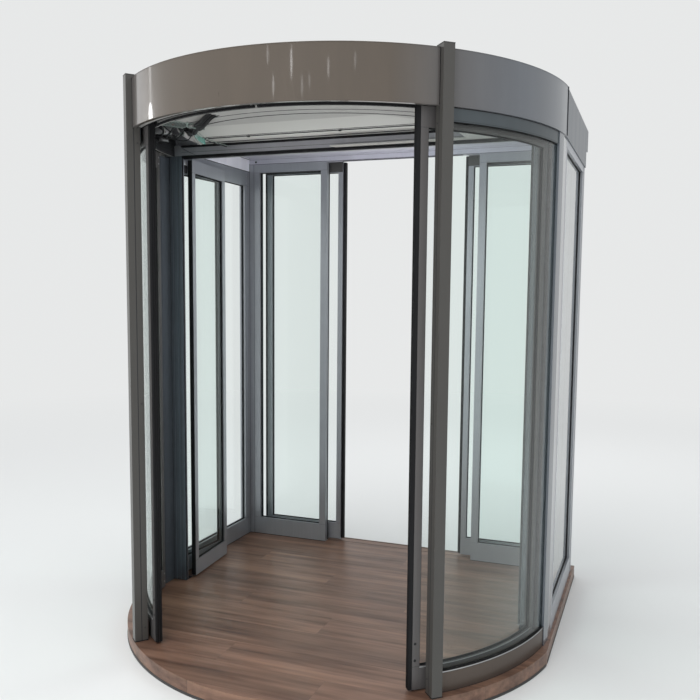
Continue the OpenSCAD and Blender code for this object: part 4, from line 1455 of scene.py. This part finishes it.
class ENTRANCE_OT_deck(bpy.types.Operator):
    """Edge strips and rear sill of the floor deck"""

    bl_idname = "entrance.deck"
    bl_label = "Deck edge"

    def execute(self, context):
        r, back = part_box("floor_deck")[1][:2]
        reach = sizes().post_out + 0.003
        wide = math.acos(math.sqrt(reach ** 2 - r ** 2) / reach) - 0.004
        nose = arc_bar(reach - 0.003, reach + 0.0016, 0.0, 0.012, -wide, wide, edge=0.0008)
        one("deck_front_strip", [nose], "dark")
        side = block((r - 0.003, -0.20, 0.0), (r + 0.0016, back + 0.0016, 0.012))
        pair("deck_side_strip", [side], "dark")
        rear = block((-r, back - 0.003, 0.0), (r, back + 0.0016, 0.012))
        one("deck_back_strip", [rear], "dark")
        one("rear_sill", blocks((
            ((-0.92, 0.9275, FLOOR_TOP - 0.0002), (0.92, 0.9335, FLOOR_TOP + 0.0022), 0.0008),
            ((-0.46, 0.8660, FLOOR_TOP - 0.0002), (0.46, 0.8690, FLOOR_TOP + 0.0012), 0.0004),
        )), "rail")
        return {"FINISHED"}


# Stage


class ENTRANCE_OT_stage(bpy.types.Operator):
    """Camera, lamps, floor and background"""

    bl_idname = "entrance.stage"
    bl_label = "Stage"

    def execute(self, context):
        self.camera(context)
        self.lamps()
        self.floor()
        self.background(context)
        context.scene.view_settings.view_transform = "Standard"
        return {"FINISHED"}

    def camera(self, context):
        """The photograph's viewpoint."""
        view = context.scene.entrance_view
        ahead = Vector((-math.sin(view.yaw) * math.cos(view.pitch),
                        math.cos(view.yaw) * math.cos(view.pitch), -math.sin(view.pitch)))
        level = Vector((math.cos(view.yaw), math.sin(view.yaw), 0))
        upright = level.cross(ahead)
        right = math.cos(view.roll) * level + math.sin(view.roll) * upright
        upward = -math.sin(view.roll) * level + math.cos(view.roll) * upright
        lens = bpy.data.cameras.new("camera")
        lens.sensor_width = 36
        lens.lens = view.focal / view.width * lens.sensor_width
        lens.shift_x = 0.5 - view.centre[0] / view.width
        lens.shift_y = view.centre[1] / view.width - 0.5
        holder = bpy.data.objects.new("camera", lens)
        turn = Matrix((right, upward, -ahead)).transposed().to_4x4()
        holder.matrix_world = Matrix.Translation(Vector(view.place)) @ turn
        context.scene.collection.objects.link(holder)
        context.scene.camera = holder

    def lamps(self):
        """Soft lamps all round, and small bright ones that only the paint mirrors."""
        fascia_left = (-0.49, -0.90, 2.30)
        for name, place, aim, size, power in (
                ("top_lamp", (-0.6, -2.6, 5.2), (0, 0, 1.6), (2.6, 2.6), 34),
                ("left_lamp", (-4.4, -2.6, 2.8), (0, 0, 1.4), (2.2, 2.2), 20),
                ("right_lamp", (4.6, -1.6, 3.2), (0, 0, 1.4), (2.4, 2.4), 20),
                ("rear_lamp", (0.6, 4.8, 3.6), (0, 0.4, 1.2), (2.8, 2.8), 26),
                ("low_lamp", (-0.4, -4.8, 0.9), (0, 0.5, 2.2), (2.2, 1.4), 26)):
            self.panel(name, place, aim, size, power, "RECTANGLE")
        bpy.data.lights["low_lamp"].spread = math.radians(100)
        for name, place, aim, size, power in (
                ("edge_strip", (-4.2, -0.8, 3.02), fascia_left, (0.26, 0.22), 1.9),
                ("edge_strip_high", (-4.2, -0.8, 3.44), fascia_left, (0.14, 0.60), 0.45),
                ("edge_panel", (-4.3, -0.22, 3.1), (-0.55, -0.86, 2.35), (1.6, 1.2), 2.2)):
            self.panel(name, place, aim, size, power, "ELLIPSE")
        strips = (
            (-0.19, -4.65, 3.39, 0.24, 0.36), (-0.99, -4.51, 3.45, 0.14, 0.10),
            (-0.81, -4.59, 3.22, 0.16, 0.16), (0.17, -4.69, 3.22, 0.15, 0.09),
            (0.42, -4.68, 3.26, 0.10, 0.05), (1.04, -4.57, 3.36, 0.15, 0.13),
            (1.87, -4.29, 3.41, 0.12, 0.06))
        for index, (x, y, z, tall, power) in enumerate(strips):
            self.panel(f"front_strip_{index}", (x, y, z), (0.2, -1.0, 2.36), (0.06, tall),
                       power, "ELLIPSE")
        fill = bpy.data.lights.new("lobby_fill", "POINT")
        fill.shadow_soft_size = 0.3
        fill.energy = 15
        self.hang(fill, (0, 0.3, 1.75), Vector((0, 0, -1)), False)
        sky = bpy.data.lights.new("soft_sun", "SUN")
        sky.angle = math.radians(70)
        sky.energy = 1.05
        self.hang(sky, (-2, -4, 6), Vector((0.30, 0.42, -1)), False)

    def panel(self, name, place, aim, size, power, shape):
        """Flat lamp, mirrored in the paint if it is an ellipse."""
        lamp = bpy.data.lights.new(name, "AREA")
        lamp.shape = shape
        lamp.size, lamp.size_y = size
        lamp.energy = power
        self.hang(lamp, place, Vector(aim) - Vector(place), shape == "ELLIPSE")

    def hang(self, lamp, place, run, mirrored):
        """Aims a lamp and keeps it out of the camera's sight."""
        holder = bpy.data.objects.new(lamp.name, lamp)
        holder.location = place
        holder.rotation_euler = run.to_track_quat("-Z", "Y").to_euler()
        holder.visible_camera = False
        holder.visible_transmission = False
        holder.visible_glossy = mirrored
        bpy.context.scene.collection.objects.link(holder)

    def floor(self):
        """Pale floor under the deck."""
        clear_selection()
        bpy.ops.mesh.primitive_plane_add(size=60, location=(0, 0, 0))
        floor = named(settle(bpy.context.object), "stage_floor")
        material, tree, shader, place = start_material("stage_floor")
        # the floor turns into the backdrop's own tone a few metres out
        far = spread(tree, vectors(tree, "LENGTH", place)["Value"], 2.2, 9.0)
        put(tree, shader, Base_Color=mixed(tree, far, colours().paper, BLACK),
            Emission_Color=mixed(tree, far, BLACK, colours().backdrop),
            Emission_Strength=1.0, Specular_IOR_Level=0.0, Roughness=0.9)
        floor.data.materials.append(material)

    def background(self, context):
        """Even pale surroundings that lamps, metal and glass see alike."""
        world = bpy.data.worlds.new("surroundings")
        world.use_nodes = True
        tree = world.node_tree
        tree.nodes.clear()
        path = add(tree, "LightPath").outputs
        seen = maths(tree, "MAXIMUM", path["Is Camera Ray"], path["Is Glossy Ray"])
        seen = maths(tree, "MAXIMUM", seen, path["Is Transmission Ray"])
        blend = add(tree, "MixShader", Fac=seen)
        for socket, colour, power in ((blend.inputs[1], colours().sky, 0.62),
                                      (blend.inputs[2], colours().backdrop, 1.0)):
            light = add(tree, "Background", Color=colour, Strength=power)
            feed(tree, light.outputs[0], socket)
        add(tree, "OutputWorld", Surface=blend.outputs[0])
        context.scene.world = world


class ENTRANCE_PT_panel(bpy.types.Panel):
    """Lists the steps in the sidebar"""

    bl_label = "Entrance"
    bl_space_type = "VIEW_3D"
    bl_region_type = "UI"
    bl_category = "Entrance"

    def draw(self, context):
        for step in STEPS:
            self.layout.operator(step.bl_idname)
        scene = context.scene
        for group in (scene.entrance_sizes, scene.entrance_colours, scene.entrance_view):
            for key in group.__annotations__:
                self.layout.prop(group, key)


STEPS = (
    ENTRANCE_OT_finishes,
    ENTRANCE_OT_gaskets,
    ENTRANCE_OT_curved_leaves,
    ENTRANCE_OT_sliding_leaves,
    ENTRANCE_OT_posts,
    ENTRANCE_OT_fascia,
    ENTRANCE_OT_curved_walls,
    ENTRANCE_OT_ceiling,
    ENTRANCE_OT_drive,
    ENTRANCE_OT_portal,
    ENTRANCE_OT_folding_leaves,
    ENTRANCE_OT_lobby,
    ENTRANCE_OT_rear_wall,
    ENTRANCE_OT_deck,
    ENTRANCE_OT_stage,
)
GROUPS = (EntranceSizes, EntranceColours, EntranceView)


def register():
    """Adds the classes and their settings."""
    for kind in GROUPS + STEPS + (ENTRANCE_PT_panel,):
        bpy.utils.register_class(kind)
    bpy.types.Scene.entrance_sizes = bpy.props.PointerProperty(type=EntranceSizes)
    bpy.types.Scene.entrance_colours = bpy.props.PointerProperty(type=EntranceColours)
    bpy.types.Scene.entrance_view = bpy.props.PointerProperty(type=EntranceView)


def unregister():
    """Removes the classes and their settings."""
    del bpy.types.Scene.entrance_view
    del bpy.types.Scene.entrance_colours
    del bpy.types.Scene.entrance_sizes
    for kind in reversed(GROUPS + STEPS + (ENTRANCE_PT_panel,)):
        bpy.utils.unregister_class(kind)


def main():
    """Runs every step."""
    register()
    for step in STEPS:
        family, action = step.bl_idname.split(".")
        getattr(getattr(bpy.ops, family), action)()
    clear_selection()


if __name__ == "__main__":
    main()
